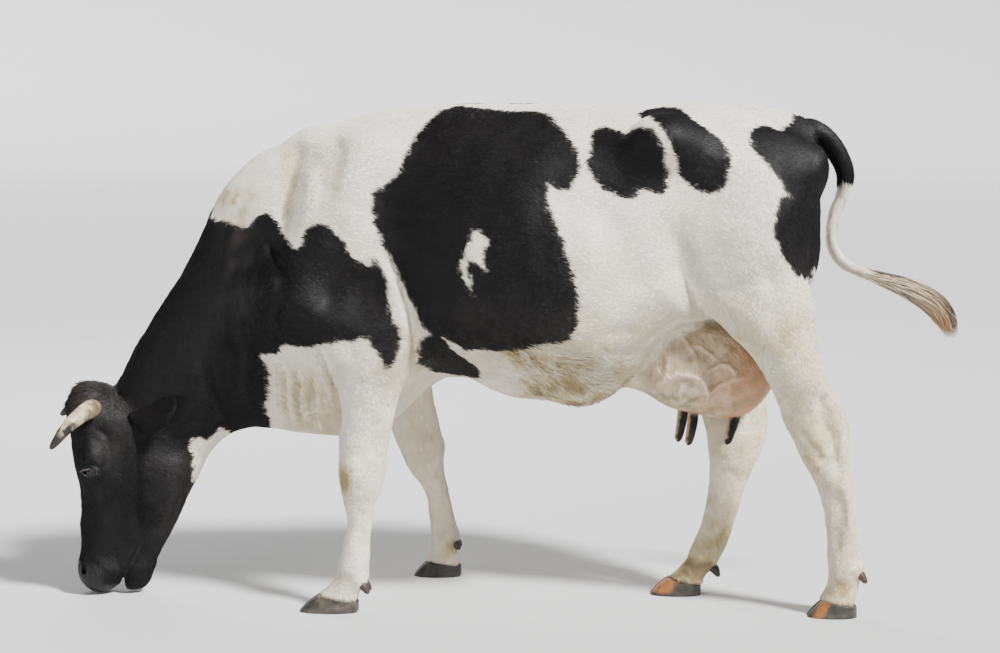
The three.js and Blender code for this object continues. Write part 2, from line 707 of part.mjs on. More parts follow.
// A claw: D-shaped outlines from the sloping coronet down to the flat sole.
// toe and heel are places along the body; the claw faces -X.
const FEET = {
  fore_left: { toe: -550, heel: -384, out: 236 },
  fore_right: { toe: -280, heel: -138, out: 284 },
  hind_left: { toe: 874, heel: 1012, out: 206 },
  hind_right: { toe: 434, heel: 582, out: 62 },
};
const CLAW_WIDTH = 54;
const CORONET = { front: 57, back: 28, inset: 0.33 };
const coronetHeight = (share) => CORONET.front + (CORONET.back - CORONET.front) * share;
function claw(foot, side, which) {
  const { toe, heel, out } = FEET[foot];
  const levels = [0, 0.14, 0.6, 1];
  const around = 12;
  const rings = levels.map((level) => {
    const shrink = level === 0 ? 0.97 : 1 - 0.06 * level;
    const front = toe + (heel - toe) * CORONET.inset * level ** 1.15;
    return Array.from({ length: around }, (_, k) => {
      const turn = (k / around) * 2 * Math.PI;
      const x = (1 - Math.cos(turn)) / 2;
      const bulge = Math.abs(Math.sin(turn)) ** (turn < Math.PI ? 0.72 : 0.5);
      const wide = turn < Math.PI ? CLAW_WIDTH * 0.86 : CLAW_WIDTH * 0.1;
      const share = (front + (heel - front) * x - toe) / (heel - toe);
      const y = CLAW_GAP / 2 + CLAW_WIDTH * 0.1 + (turn < Math.PI ? 1 : -1) * wide * bulge * shrink;
      const z = level * (coronetHeight(share) - GAP);
      return [front + (heel - front) * x, side * out + which * y, z];
    });
  });
  return ringed(rings);
}

// Dewclaws: two blunt pegs behind each fetlock.
const DEWCLAWS = {
  fore_left: [-370, 84, 236],
  fore_right: [-158, 112, 284],
  hind_left: [1018, 128, 206],
  hind_right: [616, 86, 62],
};
function dewclaw(foot, side, which) {
  const [x, z, out] = DEWCLAWS[foot];
  const from = [x - 10, side * out + which * 21, z + 3];
  const to = [x + 19, side * out + which * 24, z - 31];
  return swept([from, mixed(from, to, 0.5), to], (t) => 13 - 3.5 * t * t, 2, 6);
}

function teat([base, tip]) {
  return swept([base, mixed(base, tip, 0.5), tip], (t) => 17 - 3 * t - 5 * t ** 6, 3, 7);
}

// ---- materials ----------------------------------------------------------------------------------
const finish = (colour, roughness) =>
  new THREE.MeshStandardMaterial({ color: colour, roughness, metalness: 0 });
const WHITE_COAT = finish(0xe9e4d8, 0.8);
const BLACK_COAT = finish(0x1b1a1d, 0.6);
const TAIL_HAIR = finish(0xcdbf9f, 0.8);
const BARE_SKIN = finish(0xe0b9a2, 0.6);
const DARK_SKIN = finish(0x35302f, 0.5);
const HORN = finish(0xb9a98a, 0.45);
const HOOF = finish(0x4a4440, 0.55);
const EYE = finish(0x0d0a0a, 0.08);

const cow = new THREE.Group();
function add(name, solid, material) {
  const mesh = new THREE.Mesh(geometryOf(solid), material);
  mesh.name = name;
  cow.add(mesh);
}

// ---- assembly -------------------------------------------------------------------------------------
const legBlocks = Object.values(LEG_BLOCKS);
const BODY_BOX = { low: [-810, -480, 380], high: [1030, 480, 1520] };
const TRUNK_CELL = [90, 76, 76];
const HEAD_BOX = { low: [-1330, -240, -20], high: [-740, 200, 700] };
const HEAD_CELL = [33, 30, 35];
const NECK_BOX = { low: [-1240, -300, 300], high: [-400, 300, 1520] };
const NECK_CELL = [71, 63, 69];
const UDDER_CELL = [86, 78, 70];

const trunk = flesh(BODY_BOX.low, BODY_BOX.high, TRUNK_CELL, null, [
  neckSlab(GAP),
  ...legBlocks.map((b) => grown(b, GAP)),
]);
add("trunk", trunk, WHITE_COAT);

const neck = flesh(NECK_BOX.low, NECK_BOX.high, NECK_CELL, neckSlab(0), [
  headSlab(GAP),
  ...legBlocks.map((b) => grown(b, GAP)),
]);
add("neck", neck, BLACK_COAT);

const eyes = both((y) => onHead(258, 94, y * 107));
const eyeBall = (centre, radius) => {
  const geometry = new THREE.SphereGeometry(radius, 12, 6);
  geometry.translate(...centre);
  return solidOf(geometry);
};
const horns = both((y) => swept(hornPath(y), hornRadius, 8, 8));
const hornSockets = both((y) => swept(hornPath(y), (t) => hornRadius(t) + SHELL_GAP, 8, 8));
const head = flesh(HEAD_BOX.low, HEAD_BOX.high, HEAD_CELL, headSlab(0), [
  ...eyes.map((centre) => eyeBall(centre, EYE_RADIUS + SHELL_GAP)),
  ...hornSockets,
  mouthWedge(),
]);
add("head", head, BLACK_COAT);
both((y) => {
  const sideName = y === LEFT ? "left" : "right";
  const i = y === LEFT ? 0 : 1;
  add("eye_" + sideName, eyeBall(eyes[i], EYE_RADIUS), EYE);
  add("horn_" + sideName, horns[i], HORN);
  add("ear_" + sideName, clearOf(ear(y), head, neck), BLACK_COAT);
});

const legs = [];
const LEG_CELL = { fore: [37, 34, 60], hind: [46, 39, 60] };
for (const [name, bounds] of Object.entries(LEG_BLOCKS)) {
  const side = name.endsWith("left") ? LEFT : RIGHT;
  const foot = bounds.form;
  const { toe, heel } = FEET[foot];
  const slope = THREE.MathUtils.radToDeg(
    Math.atan2(CORONET.front - CORONET.back, heel - toe),
  );
  // Everything under the sloping coronet belongs to the claws.
  const under = new THREE.BoxGeometry(FAR, FAR, FAR);
  under.translate(0, 0, -FAR / 2);
  under.rotateY(rad(slope));
  under.translate(toe, 0, CORONET.front);
  const pegs = both((which) => dewclaw(foot, side, which));
  const cell = LEG_CELL[name.startsWith("fore") ? "fore" : "hind"];
  const low = [bounds.low[0] - 40, bounds.low[1] - 40, 4];
  const high = [bounds.high[0] + 40, bounds.high[1] + 40, bounds.high[2] + 60];
  const leg = flesh(low, high, cell, block(bounds.low, bounds.high), [solidOf(under)]);
  legs.push(leg);
  add(name, leg, WHITE_COAT);
  both((which) => {
    const place = which * side > 0 ? "outer" : "inner";
    add(`claw_${name.replace("leg", "")}_${place}`, claw(foot, side, which), HOOF);
    const peg = pegs[which * side > 0 ? (side > 0 ? 1 : 0) : side > 0 ? 0 : 1];
    add(`dewclaw_${name.replace("leg", "")}_${place}`, clearOf(peg, leg), HOOF);
  });
}

const udderBox = [[220, -210, 480], [880, 210, 960]];
const udder = clearOf(solidOf(skinOf(udderField, ...udderBox, UDDER_CELL)), trunk, ...legs);
add("udder", udder, BARE_SKIN);
for (const [name, ends] of Object.entries(TEATS)) {
  add(name, clearOf(teat(ends), udder), DARK_SKIN);
}

const tailSolids = Object.keys(TAIL_PARTS).map((name) => [name, tailPart(name)]);
tailSolids.forEach(([name, solid], i) => {
  const before = i ? [trunk, tailSolids[i - 1][1]] : [trunk];
  add(name, clearOf(solid, ...before), name === "tail_base" ? BLACK_COAT : TAIL_HAIR);
});

export default cow;
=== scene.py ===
"""A life-size museum model of a grazing Holstein-Friesian dairy cow, dressed in skin and coat.

She faces -X, her left side is -Y, +Z is up and the floor is at 0. Shapes are worked out in
millimetres and put into the meshes in metres. The skin is the level surface of one smooth
field, made of long forms, balls and rods that are blended into each other.
"""

import math

import bmesh
import bpy
import numpy as np
from mathutils import Matrix


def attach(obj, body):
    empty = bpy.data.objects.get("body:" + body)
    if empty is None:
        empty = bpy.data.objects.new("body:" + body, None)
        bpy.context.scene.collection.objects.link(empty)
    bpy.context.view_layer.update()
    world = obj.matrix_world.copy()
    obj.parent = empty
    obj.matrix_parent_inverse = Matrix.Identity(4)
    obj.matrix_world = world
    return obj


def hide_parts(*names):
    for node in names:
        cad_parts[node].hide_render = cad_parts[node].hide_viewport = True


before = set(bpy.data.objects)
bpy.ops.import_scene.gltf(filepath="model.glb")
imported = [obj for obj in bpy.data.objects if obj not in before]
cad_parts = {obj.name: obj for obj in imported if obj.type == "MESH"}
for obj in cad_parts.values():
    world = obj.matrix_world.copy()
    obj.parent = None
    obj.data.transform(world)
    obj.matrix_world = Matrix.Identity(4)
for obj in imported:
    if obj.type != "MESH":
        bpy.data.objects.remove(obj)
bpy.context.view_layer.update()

# ---- driving dimensions, in millimetres and degrees ----
MM = 0.001
NECK_TILT = 45
HEAD_TURN = 9
HEAD_ORIGIN = np.array([-1080.0, -30.0, 630.0])
EYE_RADIUS = 21
BODY_COAT = 5.0  # how deep the skin lies under the tips of the coat, here and below
LEG_COAT = 3.0
FACE_COAT = 1.6
MUZZLE_COAT = 0.6
UDDER_COAT = 0.8
LEFT, RIGHT = -1, 1
SIDES = (LEFT, RIGHT)
SIDE_NAME = {LEFT: "left", RIGHT: "right"}
WRAP_RADIUS = 360.0  # turns the angle round the trunk into a girth
WRAP_HEIGHT = 980.0

# [place along the back, top, bottom, half width, height of the widest line, squareness]
TRUNK = [
    [-640, 1240, 560, 120, 860, 2.0], [-540, 1322, 520, 172, 850, 1.95],
    [-440, 1372, 515, 214, 850, 1.85], [-330, 1402, 570, 250, 850, 1.85],
    [-230, 1416, 660, 290, 860, 1.9], [-110, 1424, 645, 332, 865, 1.95],
    [10, 1425, 594, 360, 865, 2.0], [130, 1426, 580, 374, 860, 2.05],
    [240, 1424, 568, 371, 865, 2.1], [310, 1421, 592, 360, 885, 2.15],
    [380, 1419, 650, 342, 915, 2.2], [460, 1420, 735, 320, 950, 2.25],
    [560, 1422, 780, 296, 985, 2.2], [660, 1420, 790, 272, 1010, 2.1],
    [760, 1406, 800, 240, 1020, 2.05], [840, 1384, 850, 192, 1030, 2.0],
    [872, 1356, 905, 154, 1040, 2.0],
]
# [place down the neck, top, underside, half width, height of the widest line, squareness]
NECK = [
    [-220, 324, -400, 150, -60, 1.9], [-90, 361, -430, 160, -70, 1.85],
    [50, 374, -448, 158, -70, 1.8], [190, 327, -440, 148, -60, 1.8],
    [300, 292, -375, 136, -20, 1.8], [400, 272, -268, 126, 10, 1.85],
    [470, 256, -184, 119, 25, 1.95], [530, 243, -146, 114, 30, 2.0],
    [600, 222, -132, 110, 30, 2.0], [660, 200, -134, 104, 30, 2.0],
]
# [place down from the poll, forehead edge, jaw edge, half width, widest line, squareness]
HEAD = [
    [46, 142, 40, 72, 98, 2.3], [72, 160, 0, 88, 96, 2.5],
    [110, 168, -80, 100, 90, 2.5], [170, 163, -150, 107, 84, 2.4],
    [225, 158, -192, 112, 80, 2.4], [270, 150, -200, 111, 76, 2.4],
    [315, 142, -184, 102, 70, 2.3], [370, 139, -161, 87, 62, 2.3],
    [430, 141, -133, 74, 58, 2.3], [490, 141, -100, 67, 58, 2.3],
    [535, 142, -76, 65, 60, 2.4],
]
# Legs: [height, front edge, back edge, half width, where widest, side centre, squareness]
THIGH_TOP = [[1090, 540, 868, 96, 740, 168, 2.1], [1210, 600, 864, 62, 760, 150, 2.0]]
LEGS = {
    "fore_left": [
        [46, -494, -382, 46, -436, 236, 2.3], [95, -449, -354, 42, -403, 236, 2.2],
        [129, -443, -350, 43, -396, 235, 2.2], [164, -432, -347, 35, -392, 234, 2.1],
        [200, -424, -347, 31, -388, 232, 2.1], [267, -416, -340, 31, -380, 229, 2.1],
        [305, -426, -334, 38, -384, 227, 2.3], [345, -434, -316, 48, -384, 225, 2.5],
        [400, -440, -304, 52, -384, 222, 2.5], [450, -440, -300, 50, -376, 218, 2.2],
        [540, -440, -282, 60, -366, 212, 2.1], [620, -443, -266, 70, -356, 205, 2.1],
        [700, -466, -238, 82, -350, 196, 2.1], [780, -510, -210, 88, -360, 186, 2.1],
    ],
    "fore_right": [
        [46, -240, -144, 46, -190, 284, 2.3], [93, -228, -146, 42, -186, 283, 2.2],
        [129, -230, -144, 43, -184, 282, 2.2], [166, -231, -152, 35, -190, 280, 2.1],
        [202, -236, -160, 31, -196, 276, 2.1], [242, -242, -170, 31, -206, 271, 2.1],
        [275, -256, -176, 36, -216, 265, 2.2], [312, -284, -184, 46, -234, 259, 2.5],
        [350, -304, -188, 51, -248, 252, 2.5], [405, -326, -184, 51, -258, 243, 2.4],
        [455, -342, -196, 51, -266, 235, 2.2], [540, -362, -212, 60, -284, 222, 2.1],
        [620, -382, -222, 70, -304, 210, 2.1], [700, -412, -226, 82, -320, 197, 2.1],
        [780, -470, -214, 88, -340, 186, 2.1],
    ],
    "hind_left": [
        [48, 914, 1010, 46, 960, 206, 2.3], [98, 929, 1022, 42, 976, 206, 2.2],
        [133, 931, 1030, 44, 980, 206, 2.2], [168, 927, 1030, 36, 978, 206, 2.1],
        [215, 925, 1022, 33, 974, 206, 2.1], [270, 920, 1017, 33, 970, 205, 2.1],
        [320, 908, 1005, 35, 958, 204, 2.1], [370, 892, 1000, 42, 948, 203, 2.3],
        [430, 858, 990, 49, 930, 202, 2.4], [490, 830, 986, 51, 906, 201, 2.3],
        [540, 804, 986, 49, 884, 201, 2.1], [595, 784, 964, 52, 860, 202, 2.0],
        [660, 754, 930, 68, 836, 203, 2.0], [730, 708, 904, 84, 800, 202, 2.0],
        [800, 634, 892, 100, 762, 198, 2.0], [870, 556, 886, 110, 730, 190, 2.1],
        [970, 520, 868, 110, 720, 180, 2.1],
    ],
    "hind_right": [
        [48, 492, 590, 46, 550, 62, 2.3], [98, 534, 630, 42, 590, 62, 2.2],
        [132, 548, 650, 44, 604, 63, 2.2], [165, 562, 664, 36, 616, 65, 2.1],
        [205, 578, 676, 33, 630, 68, 2.1], [250, 590, 690, 33, 642, 72, 2.1],
        [300, 597, 705, 35, 654, 79, 2.1], [350, 601, 725, 40, 666, 86, 2.3],
        [400, 600, 748, 48, 682, 94, 2.4], [450, 594, 768, 51, 690, 104, 2.3],
        [500, 584, 774, 49, 686, 116, 2.1], [560, 562, 772, 52, 672, 132, 2.0],
        [630, 524, 776, 68, 656, 154, 2.0], [710, 480, 800, 86, 648, 171, 2.0],
        [790, 462, 836, 100, 660, 183, 2.0], [870, 474, 868, 110, 690, 186, 2.1],
        [970, 504, 866, 110, 714, 178, 2.1],
    ],
}
# (toe, heel, out): toe and heel are places along the body, out is the foot's middle line
FEET = {
    "fore_left": (-550, -384, 236),
    "fore_right": (-280, -138, 284),
    "hind_left": (874, 1012, 206),
    "hind_right": (434, 582, 62),
}
CORONET_FRONT, CORONET_BACK, CORONET_INSET = 57, 28, 0.33
CLAW_WIDTH, CLAW_GAP = 54, 7
DEWCLAWS = {  # (place along, height, out)
    "fore_left": (-370, 84, 236),
    "fore_right": (-158, 112, 284),
    "hind_left": (1018, 128, 206),
    "hind_right": (616, 86, 62),
}
TEATS = {  # (root, tip)
    "teat_front_left": ((556, -84, 566), (540, -94, 459)),
    "teat_front_right": ((528, 66, 560), (511, 70, 444)),
    "teat_rear_left": ((672, -72, 562), (649, -80, 460)),
    "teat_rear_right": ((680, 44, 562), (664, 42, 472)),
}
TAIL_PATH = np.array([
    [812, 0, 1352], [868, 2, 1352], [914, 4, 1330], [952, 6, 1286], [976, 8, 1232],
    [974, 9, 1172], [954, 10, 1118], [942, 11, 1062], [948, 12, 1016], [974, 14, 976],
    [1018, 16, 950], [1070, 19, 930], [1126, 22, 912], [1182, 25, 889], [1233, 28, 858],
    [1270, 30, 818], [1292, 31, 764],
], float)
TAIL_BONE_END = 10  # the path's point where the switch begins
EAR_LENGTH, EAR_WIDTH = 168, 58
LEAF = [[0, 0.5], [0.3, 0.88], [0.6, 1], [0.84, 0.8], [1, 0.18]]
FAR_OFF = 1000.0  # further than anything is from a form
FEET_BEHIND = -700  # what is low and ahead of this place is the head, not a foot


# ---- small helpers ----
def unit(v):
    v = np.asarray(v, float)
    return v / np.maximum(np.linalg.norm(v, axis=-1, keepdims=True), 1e-12)


def lengths(v):
    return np.linalg.norm(v, axis=1)


def bell(x):
    """A hump: exp(-x^2)."""
    return np.exp(-(x**2))


def eased(low, high, x):
    """0 below low, 1 above high, and 3t^2 - 2t^3 between them."""
    t = np.clip((x - low) / (high - low), 0.0, 1.0)
    return t * t * (3 - 2 * t)


def curve(rows):
    """Smooth curves through rows of numbers against their first column, flat beyond both ends."""
    table = np.asarray(rows, float)
    place = table[:, 0]
    slope = np.gradient(table, axis=0) * 0
    slope[1:-1] = (table[2:] - table[:-2]) / (place[2:] - place[:-2])[:, None]
    slope[0] = (table[1] - table[0]) / (place[1] - place[0])
    slope[-1] = (table[-1] - table[-2]) / (place[-1] - place[-2])

    def at(s):
        s = np.clip(np.asarray(s, float), place[0], place[-1])
        i = np.clip(np.searchsorted(place, s, side="right") - 1, 0, len(place) - 2)
        width = (place[i + 1] - place[i])[..., None]
        t = (s - place[i])[..., None] / width
        flat = (1 + 2 * t) * (1 - t) ** 2 * table[i] + t * t * (3 - 2 * t) * table[i + 1]
        lean = t * (1 - t) ** 2 * slope[i] - t * t * (1 - t) * slope[i + 1]
        return np.moveaxis((flat + lean * width)[..., 1:], -1, 0)

    return at


def side_of(name):
    return LEFT if name.endswith("left") else RIGHT


def turns(around):
    return np.linspace(0, 2 * np.pi, around, endpoint=False)


def joined(a, b, k):
    h = np.maximum(k - np.abs(a - b), 0) / k
    return np.minimum(a, b) - h * h * k / 4


def hollowed(a, b, k):
    return -joined(-a, b, k)


# ---- forms: each is (distance, lowest corner, highest corner), the distance negative inside ----
def limb(origin, along, high, side, rows, caps):
    """A long form with superellipse sections |a|^n + |b|^n + over^n = 1 at stations along it."""
    origin, along, high, side = (np.asarray(v, float) for v in (origin, along, high, side))
    rows = sorted(rows)
    at = curve(rows)
    first, last = rows[0][0], rows[-1][0]

    def distance(p):
        rel = p - origin
        s = rel @ along
        top, bottom, half, widest, centre, n = at(s)
        over = np.maximum((first - s) / caps[0], 0) + np.maximum((s - last) / caps[1], 0)
        v = rel @ high - widest
        reach = np.where(v > 0, top - widest, widest - bottom)
        a = np.maximum(np.abs(v) / reach, 1e-6)
        b = np.maximum(np.abs(rel @ side - centre) / half, 1e-6)
        over = np.maximum(over, 1e-6)
        an, bn, on = a**n, b**n, over**n
        total = an + bn + on
        g = total ** (1 / n)
        cap = np.where(s < first, caps[0], caps[1])
        pull = np.sqrt((an / (a * reach)) ** 2 + (bn / (b * half)) ** 2 + (on / (over * cap)) ** 2)
        return np.where(g < 0.05, -np.minimum(reach, half), (g - 1) * total / (g * pull))

    corners = []
    for s, top, bottom, half, _, centre, _ in rows:
        for h in (top, bottom):
            for w in (centre - half, centre + half):
                corners.append(origin + along * s + high * h + side * w)
    corners = np.array(corners)
    reach = max(caps)
    return distance, corners.min(0) - reach, corners.max(0) + reach


def ball(centre, radii, turn=0):
    """An ellipsoid with radii along x, y and z, leaning by turn degrees about the side axis."""
    centre, radii = np.asarray(centre, float), np.asarray(radii, float)
    c, s = math.cos(math.radians(turn)), math.sin(math.radians(turn))

    def distance(p):
        r = p - centre
        q = np.stack([c * r[:, 0] + s * r[:, 2], r[:, 1], -s * r[:, 0] + c * r[:, 2]], 1)
        near = lengths(q / radii)
        pull = lengths(q / radii**2)
        return np.where(pull < 1e-6, -radii.min(), near * (near - 1) / np.maximum(pull, 1e-6))

    return distance, centre - radii.max(), centre + radii.max()


def rod(a, b, ra, rb):
    """A straight rod with round ends whose radius runs from ra to rb."""
    a, b = np.asarray(a, float), np.asarray(b, float)
    ab = b - a
    fat = max(ra, rb)

    def distance(p):
        t = np.clip((p - a) @ ab / (ab @ ab), 0, 1)
        return lengths(p - a - t[:, None] * ab) - (ra + (rb - ra) * t)

    return distance, np.minimum(a, b) - fat, np.maximum(a, b) + fat


def line_distance(p, path):
    """Distance to a polyline, and the share of its length at the nearest place."""
    best = np.full(len(p), 1e9)
    share = np.zeros(len(p))
    steps = lengths(np.diff(path, axis=0))
    starts = np.concatenate([[0], np.cumsum(steps)]) / max(steps.sum(), 1e-9)
    for k in range(len(path) - 1):
        a, ab = path[k], path[k + 1] - path[k]
        t = np.clip((p - a) @ ab / max(ab @ ab, 1e-9), 0, 1)
        d = lengths(p - a - t[:, None] * ab)
        closer = d < best
        best = np.where(closer, d, best)
        share = np.where(closer, starts[k] + t * (starts[k + 1] - starts[k]), share)
    return best, share


def furrow(path, width, depth):
    """A furrow, or a ridge if depth is negative: depth * exp(-(distance / width)^2) round a line,
    fading out towards both of the line's ends."""
    path = np.asarray(path, float)

    def carve(p):
        d, share = line_distance(p, path)
        fade = eased(-0.02, 0.22, share) * eased(-0.02, 0.22, 1 - share)
        return depth * fade * bell(d / width)

    return carve, path.min(0) - 2.6 * width, path.max(0) + 2.6 * width


def side_furrow(path, side, width, depth, inner=40):
    """A furrow drawn on one side of the body as (place along, height): it is carved straight in."""
    path = np.array([[x, 0, z] for x, z in path], float)

    def carve(p):
        flat = p * [1, 0, 1]
        d, share = line_distance(flat, path)
        fade = eased(-0.02, 0.25, share) * eased(-0.02, 0.25, 1 - share)
        return depth * fade * bell(d / width) * eased(inner * 0.3, inner, p[:, 1] * side)

    low, high = path.min(0) - 2.6 * width, path.max(0) + 2.6 * width
    low[1], high[1] = (-900, 0) if side < 0 else (0, 900)
    return carve, low, high


tilt, turn = math.radians(NECK_TILT), math.radians(HEAD_TURN)
NECK_ALONG = np.array([-math.cos(tilt), 0, -math.sin(tilt)])
NECK_HIGH = np.array([-math.sin(tilt), 0, math.cos(tilt)])
NECK_ORIGIN = np.array([-500.0, 0, 950])
FACE = np.array([-math.cos(turn), -math.sin(turn), 0])
FACE_SIDE = np.array([-math.sin(turn), math.cos(turn), 0])
UP = np.array([0.0, 0, 1])


def on_head(down, forward, out):
    """A place on the head: down from the poll, forward of the middle and out to one side."""
    return HEAD_ORIGIN + FACE * forward + FACE_SIDE * out - UP * down


def head_place(p):
    """The other way round: (down, forward, out) of places."""
    rel = p - HEAD_ORIGIN
    return -rel[:, 2], rel @ FACE, rel @ FACE_SIDE


def leg_form(name):
    rows = LEGS[name] + (THIGH_TOP if name.startswith("hind") else [])
    rows = [[z, back, front, *rest] for z, front, back, *rest in rows]
    return limb([0, 0, 0], [0, 0, 1], [1, 0, 0], [0, side_of(name), 0], rows, (20, 60))


def centred(rows):
    """Rows of a form whose middle line lies in its own plane, with that line's place, 0, put in."""
    return [[*row[:5], 0, row[5]] for row in rows]


# (form, softness of the blend, how it is blended)
BODY = [(limb([0, 0, 0], [1, 0, 0], [0, 0, 1], [0, 1, 0], centred(TRUNK), (90, 42)), 1, joined)]
BODY += [(limb(NECK_ORIGIN, NECK_ALONG, NECK_HIGH, [0, 1, 0], centred(NECK), (80, 50)), 110, joined)]
BODY += [(rod([-360, y * 108, 1270], [-560, y * 166, 900], 56, 90), 140, joined) for y in SIDES]
BODY += [(rod([-580, y * 172, 830], [-380, y * 190, 730], 84, 86), 110, joined) for y in SIDES]
BODY += [(leg_form(leg), 80 if leg.startswith("fore") else 70, joined) for leg in LEGS]
BODY += [(ball([446, y * 238, 1312], [70, 42, 50]), 100, joined) for y in SIDES]
BODY += [(rod([455, y * 222, 1322], [530, y * 60, 1362], 40, 36), 80, joined) for y in SIDES]
BODY += [(rod([470, y * 226, 1318], [840, y * 118, 1262], 40, 36), 90, joined) for y in SIDES]
BODY += [(ball([866, y * 112, 1238], [44, 38, 50]), 70, joined) for y in SIDES]
BODY += [(ball([690, y * 236, 1130], [120, 56, 120]), 120, joined) for y in SIDES]
BODY += [(rod([740, 0, 1366], [868, 0, 1340], 34, 30), 60, joined)]
BODY += [(ball([312, y * 388, 1215], [130, 60, 90]), 120, hollowed) for y in SIDES]
BODY += [(ball([800, y * 96, 1420], [110, 44, 52]), 50, hollowed) for y in SIDES]
BODY += [(limb(HEAD_ORIGIN, [0, 0, -1], FACE, FACE_SIDE, centred(HEAD), (26, 46)), 50, joined)]
BODY += [(ball(on_head(70, 108, 0), [54, 76, 42]), 40, joined)]
BODY += [(ball(on_head(226, 98, y * 86), [38, 36, 38]), 40, joined) for y in SIDES]
BODY += [(ball(on_head(300, -90, y * 62), [78, 40, 92], -14), 50, joined) for y in SIDES]
BODY += [(rod(on_head(244, -128, 0), on_head(150, -206, 0), 46, 44), 60, joined)]
BODY += [(ball(on_head(567, 83, 0), [65, 73, 60]), 36, joined)]
BODY += [(ball(on_head(566, -20, 0), [44, 48, 54]), 22, joined)]
BODY += [(ball(on_head(594, -4, 0), [27, 38, 26]), 14, joined)]

UDDER = [
    (ball([605, 0, 698], [172, 142, 156]), 1, joined),
    (ball([536, -84, 668], [116, 94, 109]), 50, joined),
    (ball([536, 82, 668], [116, 92, 109]), 50, joined),
    (ball([655, -62, 650], [112, 84, 112]), 60, joined),
    (ball([655, 58, 650], [112, 80, 112]), 60, joined),
    (rod([345, 0, 700], [470, 0, 712], 86, 114), 80, joined),
    (rod([700, 0, 700], [770, 0, 840], 95, 70), 60, joined),
]

# ---- what the skin adds to the forms ----
EYES = {y: on_head(258, 94, y * 107) for y in SIDES}
GAZE = {y: unit(FACE_SIDE * y * 0.86 + FACE * 0.5 + UP * 0.04) for y in SIDES}
LID_THICK = 3.6
LID_HALF_WIDTH = 24.5
LID_RISE, LID_DROP = 10.5, 9.0  # how far the upper and lower lids stand from the slit's line


def eye_frame(y):
    """Along the slit towards the nose, across it towards the poll, and out of the eye."""
    out = GAZE[y]
    along = unit(FACE - out * (FACE @ out))
    across = unit(UP - out * (UP @ out) - along * (UP @ along))
    return along, across, out


def lids(d, p, y):
    """A ball over the eye, blended into the brow, with an almond slit |b| < rise (1 - (a/w)^2)."""
    along, across, out = eye_frame(y)
    rel = p - EYES[y]
    near = lengths(rel)
    a, b, c = rel @ along, rel @ across, rel @ out
    d = joined(d, near - (EYE_RADIUS + LID_THICK), 16)
    bow = 1 - (a / LID_HALF_WIDTH) ** 2
    slit = np.maximum(b - 1 - LID_RISE * bow, -b + 1 - LID_DROP * bow)
    cavity = np.maximum(np.maximum(slit, EYE_RADIUS - 5 - near), -c)
    d = hollowed(d, cavity, 3.5)
    # Two soft creases above the upper lid and one below the lower lid.
    turn = np.arctan2(b, a)
    for radius, depth, half in ((30, 2.2, 1), (38, 1.5, 1), (30, 1.4, -1)):
        ring = np.hypot(a, b * 1.25) - radius
        d = d + depth * bell(ring / 3.0) * eased(0.2, 0.8, half * np.sin(turn)) * (c > -10)
    return d


HEAD_PLANE_POINT = np.array([-1110.0, 0, 632])
HEAD_AHEAD = np.array([-0.664, 0, -0.748])
NECK_PLANE_POINT = np.array([-548.0, 0, 1350])
NECK_AHEAD = np.array([-0.986, 0, 0.165])


def head_share(p):
    """0 on the neck and 1 on the head, softly across the plane from the poll to the throat."""
    return eased(-30, 60, (p - HEAD_PLANE_POINT) @ HEAD_AHEAD)


SKIN_TAKES = []  # (form, softness) hollows of the head
for y in SIDES:
    SKIN_TAKES += [
        (rod(on_head(545, 131, y * 52), on_head(577, 124, y * 37), 10, 6), 7),
        (rod(on_head(556, 124, y * 50), on_head(544, 92, y * 36), 9, 7), 6),
        (ball(on_head(222, 8, y * 142), [44, 38, 82]), 26),
        (ball(on_head(304, 96, y * 118), [34, 14, 22]), 22),
        (ball(on_head(400, 20, y * 100), [40, 16, 62]), 30),
    ]
MOUTH_TOP, MOUTH_FRONT, MOUTH_BACK = (570, 17), (640, 46), (640, 9)  # (down, forward)


def mouth_wedge(p):
    """The opening between the upper lip and the chin: inside both of its planes."""
    down, forward, _ = head_place(p)
    sides = []
    for (d0, f0), (d1, f1), sign in ((MOUTH_TOP, MOUTH_FRONT, 1), (MOUTH_TOP, MOUTH_BACK, -1)):
        length = math.hypot(d1 - d0, f1 - f0)
        sides.append(sign * ((forward - f0) * (d1 - d0) - (down - d0) * (f1 - f0)) / length)
    return np.maximum(*sides)


